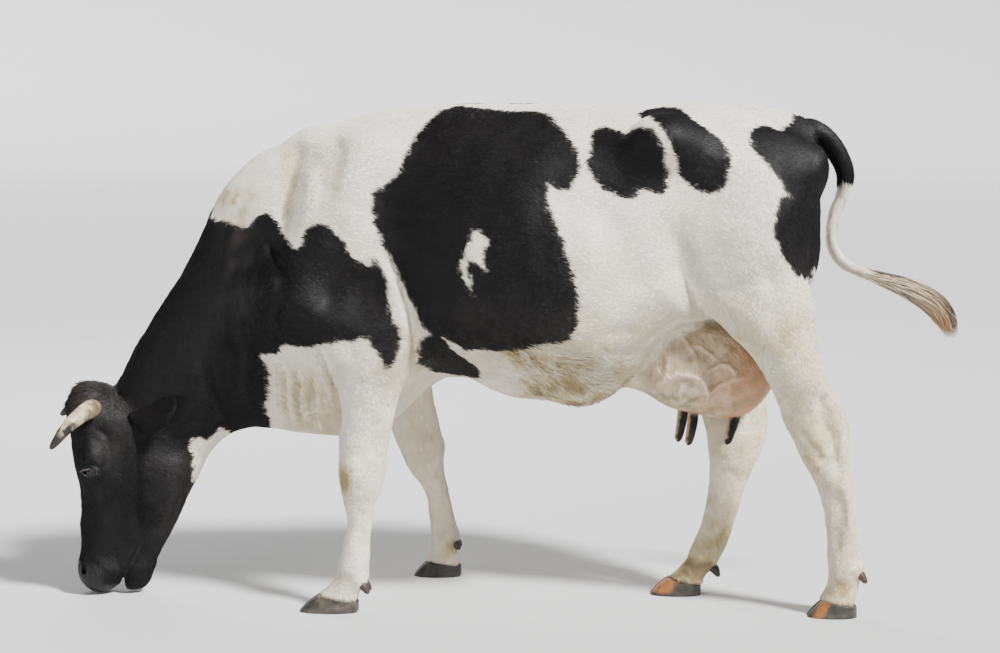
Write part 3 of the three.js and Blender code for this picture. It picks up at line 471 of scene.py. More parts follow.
# Lines as (path, width, depth): furrows, and ridges where the depth is negative. A path on the
# face is made of places (down, forward, out), one on the side of the body of (along, height).
LIP = [
    (590, 6, 26), (572, 14, 48), (547, 2, 59), (528, -11, 59),
    (509, -22, 58), (490, -32, 57), (468, -41, 59), (448, -46, 62),
]
CHEEK_EDGE = [
    (150, -36, 96), (219, -33, 107), (305, -23, 105), (367, -21, 89), (431, -32, 68), (482, -48, 57),
]
FACE_LINES = [
    (LIP, 6.5, 12.0),
    ([(570, 34, 60), (540, 16, 63), (512, -2, 62), (486, -18, 61)], 9, -3.5),
    ([(606, 16, 30), (582, -36, 44), (548, -50, 50), (516, -46, 56)], 8, -2.5),
    ([(552, -66, 30), (532, -60, 46), (514, -48, 58), (500, -34, 60)], 8, 6.0),
    # The brow, the bone round the eye and its lower edge, the cheek's edge, the cheek, the jaw's edge.
    ([(238, 130, 88), (222, 112, 110), (222, 88, 122), (240, 62, 122)], 12, -5.0),
    ([(124, 112, 94), (160, 104, 106), (198, 98, 116), (226, 96, 122)], 24, -6.0),
    ([(124, 80, 96), (155, 53, 105), (188, 46, 110), (221, 50, 115), (252, 64, 118)], 10, 8.0),
    (CHEEK_EDGE, 13, 6.0),
    ([(200, -100, 99), (260, -98, 105), (316, -86, 108), (376, -69, 90)], 46, -4.0),
    ([(245, -166, 84), (315, -168, 62), (350, -140, 82), (379, -122, 78), (438, -106, 45)], 13, 5.5),
    ([(400, -30, 78), (416, -52, 76), (420, -74, 66)], 6, 2.4),
    ([(424, -34, 72), (440, -54, 66), (440, -74, 54)], 6, 2.4),
    ([(370, -24, 92), (384, -50, 90), (386, -72, 84)], 7, 2.0),
    # The bag under the eye, the cheek's crest, the jaw, the tear line, the edge of the nose.
    ([(276, 118, 98), (290, 98, 108), (286, 74, 112)], 8, -2.6),
    ([(322, 84, 104), (360, 76, 95), (400, 70, 84), (440, 66, 75)], 14, -4.0),
    ([(300, -150, 60), (380, -140, 50), (450, -110, 42), (520, -80, 38)], 16, -2.0),
    ([(286, 112, 96), (320, 110, 84), (370, 108, 74)], 9, 2.6),
    ([(530, 140, 30), (548, 146, 42), (566, 140, 52), (584, 124, 52)], 7, -3.0),
    ([(500, 128, 44), (520, 110, 62), (540, 84, 74)], 7, 2.4),
    ([(505, 40, 70), (530, 30, 68), (556, 22, 60)], 8, 1.8),
]
# Folds behind the jaw and down the throat: (along, height, drop, lean, bend, width, depth)
THROAT_FOLDS = [
    (-880, 742, 250, 60, 20, 15, 4.5),
    (-838, 812, 330, 50, -24, 20, 6.0),
    (-770, 850, 300, 10, 26, 24, 5.0),
    (-706, 800, 250, -22, -14, 18, 3.5),
]
SIDE_LINES = [
    # The brisket.
    ([(-622, 700), (-600, 640), (-606, 570), (-590, 500)], 11, 10),
    ([(-576, 690), (-560, 630), (-568, 560), (-560, 490)], 10, 9),
    ([(-520, 670), (-516, 610), (-528, 550), (-520, 480)], 10, 8),
    ([(-600, 640), (-586, 570), (-580, 510)], 13, -6),
    ([(-540, 650), (-544, 580), (-542, 500)], 14, -6),
    ([(-640, 640), (-580, 610), (-500, 620)], 13, 4),
    ([(-620, 560), (-560, 548), (-480, 560)], 12, 4),
    # Behind the shoulder, the elbow, the flank fold and the thigh's muscle lines.
    ([(-330, 1250), (-292, 1080), (-262, 930), (-240, 790)], 44, 10),
    ([(-323, 1050), (-282, 975), (-257, 915), (-237, 854), (-223, 792), (-222, 740), (-250, 660)], 13, 15),
    ([(-356, 1040), (-316, 965), (-291, 905), (-271, 845), (-258, 785)], 15, -4),
    ([(-652, 1080), (-623, 1000), (-595, 942), (-600, 897), (-623, 850), (-640, 784)], 25, 17),
    ([(-590, 1330), (-573, 1284), (-589, 1229), (-598, 1176), (-608, 1122), (-606, 1050)], 21, 13),
    ([(-534, 1262), (-523, 1178), (-533, 1117), (-555, 1048)], 17, -4.5),
    ([(-444, 1340), (-455, 1263), (-467, 1202), (-473, 1141)], 27, 11),
    ([(-494, 1270), (-499, 1200), (-508, 1120)], 9, 4),
    ([(-420, 1120), (-450, 1010), (-470, 920), (-460, 830)], 34, 9),
    ([(-420, 800), (-400, 720), (-396, 640)], 26, 6),
    ([(-300, 800), (-330, 740), (-340, 660), (-330, 600)], 24, 7),
    # In front of the thigh, its muscle lines and the flank's fold.
    ([(478, 1130), (492, 1050), (505, 995), (523, 942), (560, 882), (612, 830), (668, 785)], 34, 21),
    ([(498, 1020), (508, 985), (526, 935), (563, 876), (612, 826)], 12, 8),
    ([(440, 960), (480, 890), (530, 840), (590, 800)], 22, -4.5),
    ([(640, 1140), (690, 1030), (716, 930)], 60, -4.5),
    ([(735, 1030), (768, 920), (772, 830), (790, 740)], 28, 8),
    ([(800, 1160), (820, 1060), (846, 960), (860, 840)], 26, 6),
    ([(250, 1180), (320, 1090), (372, 990), (400, 890)], 46, 9),
    ([(300, 790), (352, 806), (400, 800)], 16, 4),
    ([(270, 760), (330, 740), (400, 740), (450, 760)], 16, 5),
    ([(-60, 1340), (60, 1330), (200, 1326), (360, 1330)], 40, 6),
]
MILK_VEIN = [(-60, 640), (60, 636), (170, 640), (280, 650), (380, 690)]

SKIN_LINES = []
for y in SIDES:
    for path, width, depth in FACE_LINES:
        SKIN_LINES.append(furrow([on_head(a, b, y * c) for a, b, c in path], width, depth))
    for x, z, drop, lean, bend, width, depth in THROAT_FOLDS:
        path = [(x + lean * t + bend * math.sin(3.1 * t), z - drop * t) for t in np.linspace(0, 1, 8)]
        ridge = [(px + 1.7 * width, pz) for px, pz in path]
        SKIN_LINES.append(side_furrow(path, y, width, depth, 30))
        SKIN_LINES.append(side_furrow(ridge, y, width, -depth * 0.6, 30))
    SKIN_LINES += [side_furrow(path, y, width, depth) for path, width, depth in SIDE_LINES]
    for x in range(-150, 241, 78):  # faint ribs, leaning back as they go down
        path = [(x + 60 * t * t, 1180 - 360 * t) for t in np.linspace(0, 1, 6)]
        SKIN_LINES.append(side_furrow(path, y, 24, -3.6, 120))
    SKIN_LINES.append(side_furrow(MILK_VEIN, y, 13, -5, 60))


def leg_lines():
    """Grooves between shin bone and sinew, beside the hock's sinew, and knee and hock bones."""
    lines = []
    for name, rows in LEGS.items():
        side = side_of(name)
        at = curve([[z, f, b, h, w, c] for z, f, b, h, w, c, _ in rows])
        hind = name.startswith("hind")
        for face in SIDES:

            def spot(z, share, reach=1.0):
                front, back, half, _, centre = at(z)
                return [front + share * (back - front), side * centre + face * half * reach, z]

            shin = np.linspace(175, 370 if hind else 300, 6)
            lines.append(furrow([spot(z, 0.6, 0.92) for z in shin], 8, 5.5))
            sinew = np.linspace(450, 640, 6) if hind else np.linspace(430, 560, 5)
            lines.append(furrow([spot(z, 0.72, 0.85) for z in sinew], 14, 13.0 if hind else 7.0))
            for z, share, depth in ((440, 0.3, -4), (400, 0.45, -3), (126, 0.5, -3)):
                x, y, _ = spot(z, share)
                lines.append(furrow([[x, y, z], [x + 8, y, z - 22], [x, y, z - 36]], 16, depth))
    return lines


SKIN_LINES += leg_lines()
FLANK_FOLD = [(396, 740), (445, 797), (501, 818), (556, 818), (612, 800), (650, 776)]
for y in SIDES:
    SKIN_LINES += [
        side_furrow(FLANK_FOLD, y, 9, 9, 60),
        side_furrow([(-490, 770), (-470, 705), (-448, 622), (-436, 545), (-430, 500)], y, 14, 17, 110),
        side_furrow([(900, 640), (909, 600), (911, 548), (935, 505), (946, 440), (953, 388)], y, 15, 15, 120),
        side_furrow([(835, 560), (862, 512), (892, 470), (925, 420)], y, 12, 5, 120),
        side_furrow([(962, 392), (986, 334), (984, 264), (976, 208), (989, 162)], y, 9, -7, 120),
        side_furrow([(944, 360), (960, 300), (956, 230), (950, 180)], y, 12, 9, 120),
    ]
MAIN_VEIN = [
    (430, 610), (448, 636), (477, 656), (505, 667), (533, 670),
    (560, 664), (582, 644), (596, 610), (590, 570),
]
UDDER_VEINS = [  # ridges that branch from the main vein, thinner and lower towards their ends
    (MAIN_VEIN, 7.0, -15),
    ([(590, 596), (606, 622), (628, 640), (658, 654), (700, 664)], 5.6, -11.5),
    ([(588, 664), (604, 684), (628, 698), (652, 696), (668, 678), (672, 652)], 5.6, -11.5),
    ([(486, 820), (515, 786), (540, 752), (558, 724), (566, 690), (560, 664)], 5.0, -10),
    ([(462, 790), (466, 741), (482, 708), (478, 680), (470, 652)], 5.0, -10),
    ([(540, 752), (572, 748), (604, 724), (630, 698)], 4.8, -8.5),
    ([(650, 652), (660, 622), (652, 586), (660, 566)], 4.8, -8.5),
    ([(515, 668), (520, 640), (510, 612), (528, 580), (522, 560)], 4.4, -3.5),
    ([(440, 700), (456, 676), (470, 660)], 4.6, -4.5),
]
UDDER_LINES = [side_furrow(path, y, width, depth, 30) for path, width, depth in UDDER_VEINS for y in SIDES]
UDDER_LINES += [side_furrow(FLANK_FOLD, y, 9, 9, 60) for y in SIDES]
UDDER_LINES += [side_furrow([(600, 780), (604, 700), (612, 620), (606, 540)], y, 20, 10, 20) for y in SIDES]


def limits(p):
    """The lowest and then the highest of the places' coordinates."""
    return [*p.min(0), *p.max(0)]


def inside_box(p, ends, low, high):
    """The numbers of the places that lie inside a box; ends are the places' own limits."""
    if any(ends[axis] > high[axis] or ends[axis + 3] < low[axis] for axis in range(3)):
        return np.zeros(0, int)
    keep = np.flatnonzero((p[:, 0] > low[0]) & (p[:, 0] < high[0]))
    for axis in (1, 2):
        value = p[keep, axis]
        keep = keep[(value > low[axis]) & (value < high[axis])]
    return keep


def blended(d, p, forms):
    """Adds the forms to a field, each only where it is near enough to matter."""
    ends = limits(p)
    for (distance, low, high), soft, way in forms:
        near = inside_box(p, ends, low - soft - 60, high + soft + 60)
        if len(near):
            d[near] = way(d[near], distance(p[near]), soft)
    return d


def carved(d, p, lines):
    """Adds what furrows and ridges take and give."""
    ends = limits(p)
    for carve, low, high in lines:
        near = inside_box(p, ends, low, high)
        if len(near):
            d[near] += carve(p[near])
    return d


def in_chunks(field, size=9000):
    """The same field, worked out for a few thousand places at a time, which lie close together
    and so miss most of the forms."""

    def whole(p):
        if not len(p):
            return np.zeros(0)
        return np.concatenate([field(part) for part in np.array_split(p, -(-len(p) // size))])

    return whole


def coronet(p):
    """How far a place is below the sloping line where the nearest foot's claws begin."""
    below = np.full(len(p), -FAR_OFF)
    low = np.flatnonzero(p[:, 2] < 150)
    if len(low):
        q = p[low]
        reach = np.full(len(q), 1e9)
        height = np.zeros(len(q))
        for name, (toe, heel, out) in FEET.items():
            gap = np.hypot(q[:, 0] - (toe + heel) / 2, q[:, 1] - side_of(name) * out)
            share = (q[:, 0] - toe) / (heel - toe)
            at = CORONET_FRONT + (CORONET_BACK - CORONET_FRONT) * share - 4
            height = np.where(gap < reach, at, height)
            reach = np.minimum(gap, reach)
        below[low] = np.where(q[:, 0] > FEET_BEHIND, height - q[:, 2], -FAR_OFF)
    return below


def coat_depth(p):
    """How deep the skin lies under the coat's tips."""
    head = head_share(p)
    muzzle = head * eased(500, 560, head_place(p)[0])
    low = eased(700, 480, p[:, 2]) * (1 - head)
    body = BODY_COAT + (LEG_COAT - BODY_COAT) * low
    face = FACE_COAT + (MUZZLE_COAT - FACE_COAT) * muzzle
    return body + (face - body) * head


@in_chunks
def body_field(p):
    """The body out to the tips of its coat."""
    return blended(np.full(len(p), FAR_OFF), p, BODY)


@in_chunks
def udder_field(p):
    """The udder out to the tips of its down."""
    return blended(np.full(len(p), FAR_OFF), p, UDDER)


def by_udder(p):
    """The numbers of the places that the udder may reach."""
    return np.flatnonzero((p[:, 0] > 100) & (p[:, 0] < 1000) & (p[:, 2] > 440))


@in_chunks
def skin_field(p):
    """The skin: the body under its coat, the udder, and all folds."""
    d = body_field(p) + coat_depth(p)
    d = carved(d, p, SKIN_LINES) + 1.4 * ripple(p, 75, 41) + 0.5 * ripple(p, 24, 42)
    there = np.flatnonzero((p[:, 0] < -1000) & (p[:, 2] < 720))
    if len(there):
        q = p[there]
        part = d[there]
        for (distance, _, _), soft in SKIN_TAKES:
            part = hollowed(part, distance(q), soft)
        part = hollowed(part, mouth_wedge(q), 5)
        for y in SIDES:
            near = np.flatnonzero(lengths(q - EYES[y]) < 75)
            if len(near):
                part[near] = lids(part[near], q[near], y)
        d[there] = part
    near = by_udder(p)
    if len(near):
        q = p[near]
        bag = carved(udder_field(q) + UDDER_COAT, q, UDDER_LINES)
        crease = eased(540, 630, q[:, 0])
        gap = bell((d[near] - bag) / 15) * (0.12 + 0.88 * crease)
        d[near] = joined(d[near], bag, 40 - 32 * crease) + 13 * gap
    low = np.flatnonzero((p[:, 2] < 180) & (p[:, 0] > FEET_BEHIND))
    if len(low):
        q = p[low]
        part = d[low] - 4.5 * bell((coronet(q) + 10) / 9)
        for foot, (x, z, out) in DEWCLAWS.items():
            for which in SIDES:
                root = np.array([x - 8.0, side_of(foot) * out + which * 20.0, z + 8.0])
                part = joined(part, lengths(q - root) - 13.5, 22)
        d[low] = part
    return np.maximum(d, coronet(p))


# ---- the skin's net ----
# Steps, limits to both sides and height of the net against the place along the body: its lines
# are close together on the head and wider apart on the trunk.
NET_STEP = [[-1330, 5.2], [-1010, 5.2], [-860, 9.4], [-640, 16.2], [1080, 16.2]]
NET_SIDES = [
    [-1330, -216, 124], [-1010, -212, 132], [-850, -240, 220], [-700, -270, 270],
    [-480, -330, 330], [-180, -392, 392], [1080, -392, 392],
]
NET_TOP = [
    [-1330, 690], [-1120, 700], [-1000, 900], [-850, 1110],
    [-700, 1260], [-550, 1390], [-400, 1450], [1080, 1450],
]
NET_FLOOR = -12.0
NET_ACROSS, NET_UP = 65, 130
BLOCK = 4


def net_places():
    """World places of the net's nodes: x lines, with y and z spread between limits at each x."""
    step = curve(NET_STEP)
    x = [NET_STEP[0][0]]
    while x[-1] < NET_STEP[-1][0]:
        x.append(x[-1] + float(step(x[-1])[0]))
    x = np.array(x)
    low, high = curve(NET_SIDES)(x)
    top = curve(NET_TOP)(x)[0]
    return x, low, (high - low) / (NET_ACROSS - 1), (top - NET_FLOOR) / (NET_UP - 1)


def node_place(net, i, j, k):
    x, low, across, up = net
    return np.stack([x[i], low[i] + j * across[i], NET_FLOOR + k * up[i]], -1)


def net_values(field, net):
    """The field on every node: first on one node per block, then on all nodes near the surface."""
    count = (len(net[0]), NET_ACROSS, NET_UP)
    blocks = [np.minimum(np.arange(BLOCK // 2, n + BLOCK // 2, BLOCK), n - 1) for n in count]
    i, j, k = np.meshgrid(*blocks, indexing="ij")
    middle = field(node_place(net, i.ravel(), j.ravel(), k.ravel())).reshape(i.shape)
    step = np.gradient(net[0])
    size = np.sqrt(step**2 + net[2] ** 2 + net[3] ** 2) * BLOCK / 2
    close = np.abs(middle) < 1.35 * size[blocks[0]][:, None, None] + 8
    whole = [np.minimum(np.arange(n) // BLOCK, len(b) - 1) for n, b in zip(count, blocks)]
    values = middle[np.ix_(*whole)].astype(np.float32)
    near = np.argwhere(close[np.ix_(*whole)])
    values[tuple(near.T)] = field(node_place(net, *near.T))
    for axis in range(3):
        for end in (0, -1):
            rim = [slice(None)] * 3
            rim[axis] = end
            values[tuple(rim)] = np.maximum(values[tuple(rim)], 6)
    return values


def opened(values):
    """Takes in the nearer outside corner of every square whose inside corners only face each
    other across it, so that the surface never touches itself along an edge."""
    steps = [np.array(s) for s in ((1, 0, 0), (0, 1, 0), (0, 0, 1))]
    for _ in range(12):
        found = 0
        for u in range(3):
            for v in range(u + 1, 3):
                shape = [n - 1 if axis in (u, v) else n for axis, n in enumerate(values.shape)]

                def part(offset):
                    return values[tuple(slice(o, o + n) for o, n in zip(offset, shape))]

                zero = np.zeros(3, int)
                corner = [zero, zero + steps[u], zero + steps[u] + steps[v], zero + steps[v]]
                inside = [part(c) < 0 for c in corner]
                odd = (inside[0] == inside[2]) & (inside[1] == inside[3]) & (inside[0] != inside[1])
                at = np.argwhere(odd)
                found += len(at)
                for spot in at:
                    pair = [c for c in corner if values[tuple(spot + c)] >= 0]
                    if len(pair) == 2:
                        nearer = min(pair, key=lambda c: values[tuple(spot + c)])
                        values[tuple(spot + nearer)] = -0.5
        if not found:
            break
    return values


def slope_of(field, p, step=1.2):
    here = field(p)
    ahead = [(field(p + step * axis) - here) / step for axis in np.eye(3)]
    return here, np.stack(ahead, 1)


def settled(field, p, rounds, reach):
    """Slides places along the field's slope onto its zero level, each by at most reach."""
    start = p.copy()
    for _ in range(rounds):
        here, slope = slope_of(field, p)
        steep = np.maximum((slope**2).sum(1), 0.08)
        p = p - slope * (here / steep)[:, None]
        p = start + np.clip(p - start, -reach, reach)
    return p


def net_surface(field):
    """Surface nets: one vertex in each cell that the surface crosses, one quad for each crossed
    edge of the net. The vertices are evened out and slid back onto the surface."""
    net = net_places()
    values = opened(net_values(field, net))
    inside = values < 0
    corner = np.array([[c & 1, (c >> 1) & 1, (c >> 2) & 1] for c in range(8)])
    nx, ny, nz = np.array(inside.shape) - 1
    cells = [inside[a : a + nx, b : b + ny, c : c + nz] for a, b, c in corner]
    total = np.sum(cells, axis=0, dtype=np.int8)
    cell = np.argwhere((total > 0) & (total < 8))
    number = np.full(total.shape, -1, np.int32)
    number[tuple(cell.T)] = np.arange(len(cell))
    at = cell[:, None, :] + corner[None]
    level = values[tuple(np.moveaxis(at, -1, 0))].astype(float)
    place = node_place(net, *np.moveaxis(at, -1, 0))
    sums, hits = np.zeros((len(cell), 3)), np.zeros(len(cell))
    for a in range(8):
        for bit in (1, 2, 4):
            if a & bit:
                continue
            b = a | bit
            crossed = (level[:, a] < 0) != (level[:, b] < 0)
            t = np.where(crossed, level[:, a] / np.where(crossed, level[:, a] - level[:, b], 1), 0)
            sums += np.where(crossed[:, None], place[:, a] + (place[:, b] - place[:, a]) * t[:, None], 0)
            hits += crossed
    points = sums / hits[:, None]
    quads = []
    for axis in range(3):
        u, v = (axis + 1) % 3, (axis + 2) % 3
        ahead = [slice(None)] * 3
        behind = [slice(None)] * 3
        ahead[axis], behind[axis] = slice(1, None), slice(None, -1)
        flips = inside[tuple(behind)] != inside[tuple(ahead)]
        edge = np.argwhere(flips)
        here = inside[tuple(edge.T)]
        ring = []
        for du, dv in ((-1, -1), (0, -1), (0, 0), (-1, 0)):
            spot = edge.copy()
            spot[:, u] += du
            spot[:, v] += dv
            ring.append(number[tuple(spot.T)])
        ring = np.stack(ring, 1)
        ring[~here] = ring[~here][:, ::-1]
        quads.append(ring)
    quads = np.concatenate(quads)
    size = np.minimum(np.gradient(net[0])[cell[:, 0]], net[3][cell[:, 0]])[:, None]
    points = settled(field, points, 2, size * 0.7)
    points = settled(field, evened(points, quads, 2), 2, size * 0.7)
    return points, quads


def evened(points, quads, rounds):
    """Moves every vertex part of the way to the mean of its neighbours."""
    ends = np.concatenate([quads[:, [k, (k + 1) % 4]] for k in range(4)])
    ends = np.concatenate([ends, ends[:, ::-1]])
    count = np.bincount(ends[:, 0], minlength=len(points))
    for _ in range(rounds):
        sums = [np.bincount(ends[:, 0], points[ends[:, 1], k], len(points)) for k in range(3)]
        mean = np.stack(sums, 1)
        points = points + 0.5 * (mean / np.maximum(count, 1)[:, None] - points)
    return points


# ---- meshes ----
def store(mesh, values):
    """Puts {name: a number for every point} into a mesh."""
    for key, array in values.items():
        mesh.attributes.new(key, "FLOAT", "POINT").data.foreach_set("value", array.astype(np.float32))


def mesh_from(name, points, faces, values=None, uv=None, normals=None):
    """A smooth mesh from arrays in millimetres; faces is one array of triangles or of quads."""
    mesh = bpy.data.meshes.new(name)
    corners = faces.shape[1]
    mesh.vertices.add(len(points))
    mesh.vertices.foreach_set("co", (np.asarray(points) * MM).astype(np.float32).ravel())
    mesh.loops.add(faces.size)
    mesh.loops.foreach_set("vertex_index", faces.astype(np.int32).ravel())
    mesh.polygons.add(len(faces))
    mesh.polygons.foreach_set("loop_start", np.arange(0, faces.size, corners, dtype=np.int32))
    mesh.update(calc_edges=True)
    mesh.polygons.foreach_set("use_smooth", np.full(len(faces), True))
    store(mesh, values or {})
    if uv is not None:
        layer = mesh.uv_layers.new(name="OFBake")
        layer.data.foreach_set("uv", uv[faces.ravel()].astype(np.float32).ravel())
    if normals is not None:
        mesh.normals_split_custom_set_from_vertices(normals.tolist())
    return mesh


def placed(name, data):
    """A new object in the scene."""
    obj = bpy.data.objects.new(name, data)
    bpy.context.scene.collection.objects.link(obj)
    return obj


def piece(name, mesh, material, slot, *nodes):
    obj = placed(name, mesh)
    mesh.materials.append(material)
    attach(obj, "root")
    if nodes:
        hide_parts(*nodes)


def merged(parts):
    """Several (points, faces) of the same kind as one."""
    offset = np.cumsum([0] + [len(p) for p, _ in parts])
    faces = [f + o for (_, f), o in zip(parts, offset)]
    return np.concatenate([p for p, _ in parts]), np.concatenate(faces)


def lathe_faces(rings, around):
    """Triangles of a closed tube of rings, with a middle point after the last ring for each end."""
    r, k = np.meshgrid(np.arange(rings - 1), np.arange(around), indexing="ij")
    a, b = r * around + k, r * around + (k + 1) % around
    body = np.stack([a, b, b + around, a, b + around, a + around], -1).reshape(-1, 3)
    turn = np.arange(around)
    start, end, last = rings * around, rings * around + 1, (rings - 1) * around
    first_cap = np.stack([np.full(around, start), (turn + 1) % around, turn], 1)
    last_cap = np.stack([np.full(around, end), last + turn, last + (turn + 1) % around], 1)
    return np.concatenate([body, first_cap, last_cap])


def closed_tube(rings):
    """rings is an array of (ring, around, 3); the mesh is turned to face outwards."""
    count, around, _ = rings.shape
    points = np.concatenate([rings.reshape(-1, 3), rings[:1].mean(1), rings[-1:].mean(1)])
    faces = lathe_faces(count, around)
    a, b, c = (points[faces[:, k]] for k in range(3))
    volume = np.einsum("ij,ij->i", a, np.cross(b, c)).sum()
    return points, faces if volume > 0 else faces[:, ::-1]


def path_at(path, share):
    """Places on a smooth curve through the path's points, evenly by their chord lengths."""
    path = np.asarray(path, float)
    chord = np.concatenate([[0], np.cumsum(lengths(np.diff(path, axis=0)))])
    at = curve(np.column_stack([chord / chord[-1], path]))
    return np.moveaxis(at(share), 0, -1)


def tail_way(share):
    """The tail's direction at a share of its length."""
    return unit(path_at(TAIL_PATH, np.minimum(share + 0.01, 1)) - path_at(TAIL_PATH, share - 0.01))


def swept(path, radius, steps, around, share=None):
    """A round tube along a path; radius is a function of the share of its length."""
    share = np.linspace(0, 1, steps) if share is None else share
    centre = path_at(path, share)
    tangent = unit(np.gradient(centre, share, axis=0))
    helper = np.array([0.0, 1, 0]) if abs(tangent[:, 1]).mean() < 0.7 else UP
    side = unit(np.cross(tangent, helper))
    other = np.cross(tangent, side)
    turn = turns(around)[None, :, None]
    ring = side[:, None] * np.cos(turn) + other[:, None] * np.sin(turn)
    return closed_tube(centre[:, None] + ring * radius(share)[:, None, None])


# ---- ears, tail and teats, joined into the skin ----
def ear_frame(y):
    root, tip = on_head(104, -18, y * 84), on_head(48, -188, y * 218)
    along = unit(tip - root)
    across = unit(np.cross([-0.2, y * 0.72, 0.62], along))
    return root, along, across, unit(np.cross(along, across))


def ear(y, thin=2.0, steps=30, around=36):
    """A cupped leaf: at share t it is leaf(t) wide, and its section bows by the square of the
    place across it."""
    root, along, across, outward = ear_frame(y)
    t = np.linspace(0, 1, steps)[:, None]
    turn = turns(around)[None]
    half = EAR_WIDTH * curve(LEAF)(t[:, 0])[0][:, None] - thin
    cup = 26 * (1 - t) + 6
    thick = 5 + 12 * (1 - t) ** 3 - thin
    wide = np.cos(turn)
    rise = np.sin(turn) * thick - cup * wide**2
    place = root + along * (t * (EAR_LENGTH - thin))[..., None] * np.ones_like(turn)[..., None]
    return closed_tube(place + across * (half * wide)[..., None] + outward * rise[..., None])


def tail_radius(t):
    return curve([[0, 29], [0.25, 26], [0.36, 22.5], [0.44, 17], [0.58, 13], [0.75, 12.5], [1, 11]])(t)[0]


def teat(base, tip):
    middle = (np.array(base) + tip) / 2 + [3, 0, 0]
    end = curve([[0, 15], [0.3, 15.5], [0.7, 13.5], [0.9, 11], [0.97, 7], [1, 2.5]])
    return swept([base, middle, tip], lambda t: end(t)[0], 22, 20)


def skin_mesh():
    """The net of the whole animal, with ears, tail and teats joined on, as one closed mesh."""
    body = mesh_from("skin_body", *net_surface(skin_field))
    extras = [ear(y) for y in SIDES]
    extras += [swept(TAIL_PATH[: TAIL_BONE_END + 3], tail_radius, 90, 24)]
    extras += [teat(*ends) for ends in TEATS.values()]
    add = placed("skin_extras", mesh_from("skin_extras", *merged(extras)))
    whole = placed("skin_whole", body)
    union = whole.modifiers.new("union", "BOOLEAN")
    union.operation, union.solver, union.object = "UNION", "MANIFOLD", add
    graph = bpy.context.evaluated_depsgraph_get()
    mesh = bpy.data.meshes.new_from_object(whole.evaluated_get(graph))
    for obj in (whole, add):
        bpy.data.objects.remove(obj)
    mesh.name = "skin"
    return refined(mesh)


# (centre, radius, how many times the edges are halved): eyes, nostrils, lips and udder
FINE_SPOTS = [(EYES[y], 39.0, 2) for y in SIDES]
FINE_SPOTS += [(on_head(562, 124, y * 46), 34.0, 1) for y in SIDES]
LIP_SPOTS = [(560, 6), (516, -18), (474, -38)]
FINE_SPOTS += [(on_head(down, forward, y * 58), 30.0, 1) for y in SIDES for down, forward in LIP_SPOTS]
FINE_SPOTS += [(np.array([570.0, y * 140, 680]), 122.0, 2) for y in SIDES]


def refined(mesh):
    """Halves the edges in the fine spots and slides the new vertices onto the skin's field;
    everything is made of triangles at the end."""
    for level in range(max(rounds for _, _, rounds in FINE_SPOTS)):
        co = coordinates(mesh)
        ends = np.empty(len(mesh.edges) * 2, np.int32)
        mesh.edges.foreach_get("vertices", ends)
        chosen = np.zeros(len(mesh.edges), bool)
        for centre, radius, rounds in FINE_SPOTS:
            if level < rounds:
                near = lengths(co - centre) < radius * (1 - 0.22 * level)
                chosen |= near[ends].reshape(-1, 2).all(1)
        bm = bmesh.new()
        bm.from_mesh(mesh)
        bm.edges.ensure_lookup_table()
        edges = [bm.edges[k] for k in np.flatnonzero(chosen)]
        bmesh.ops.subdivide_edges(bm, edges=edges, cuts=1, use_grid_fill=True)
        bmesh.ops.triangulate(bm, faces=bm.faces[:])
        bm.to_mesh(mesh)
        bm.free()
    co = coordinates(mesh)
    for centre, radius, _ in FINE_SPOTS:
        near = np.flatnonzero(lengths(co - centre) < radius * 1.1)
        co[near] = settled(skin_field, co[near], 3, 3.0)
    mesh.vertices.foreach_set("co", (co * MM).astype(np.float32).ravel())
    mesh.update()
    return mesh


def coordinates(mesh):
    co = np.empty(len(mesh.vertices) * 3, np.float32)
    mesh.vertices.foreach_get("co", co)
    return co.reshape(-1, 3).astype(float) / MM


def triangles_of(mesh):
    faces = np.empty(len(mesh.polygons) * 3, np.int32)
    mesh.loops.foreach_get("vertex_index", faces)
    return faces.reshape(-1, 3)


def vertex_normals(points, faces):
    a, b, c = (points[faces[:, k]] for k in range(3))
    n = np.cross(b - a, c - a)
    out = np.zeros_like(points)
    for k in range(3):
        for axis in range(3):
            out[:, axis] += np.bincount(faces[:, k], n[:, axis], len(points))
    return unit(out)


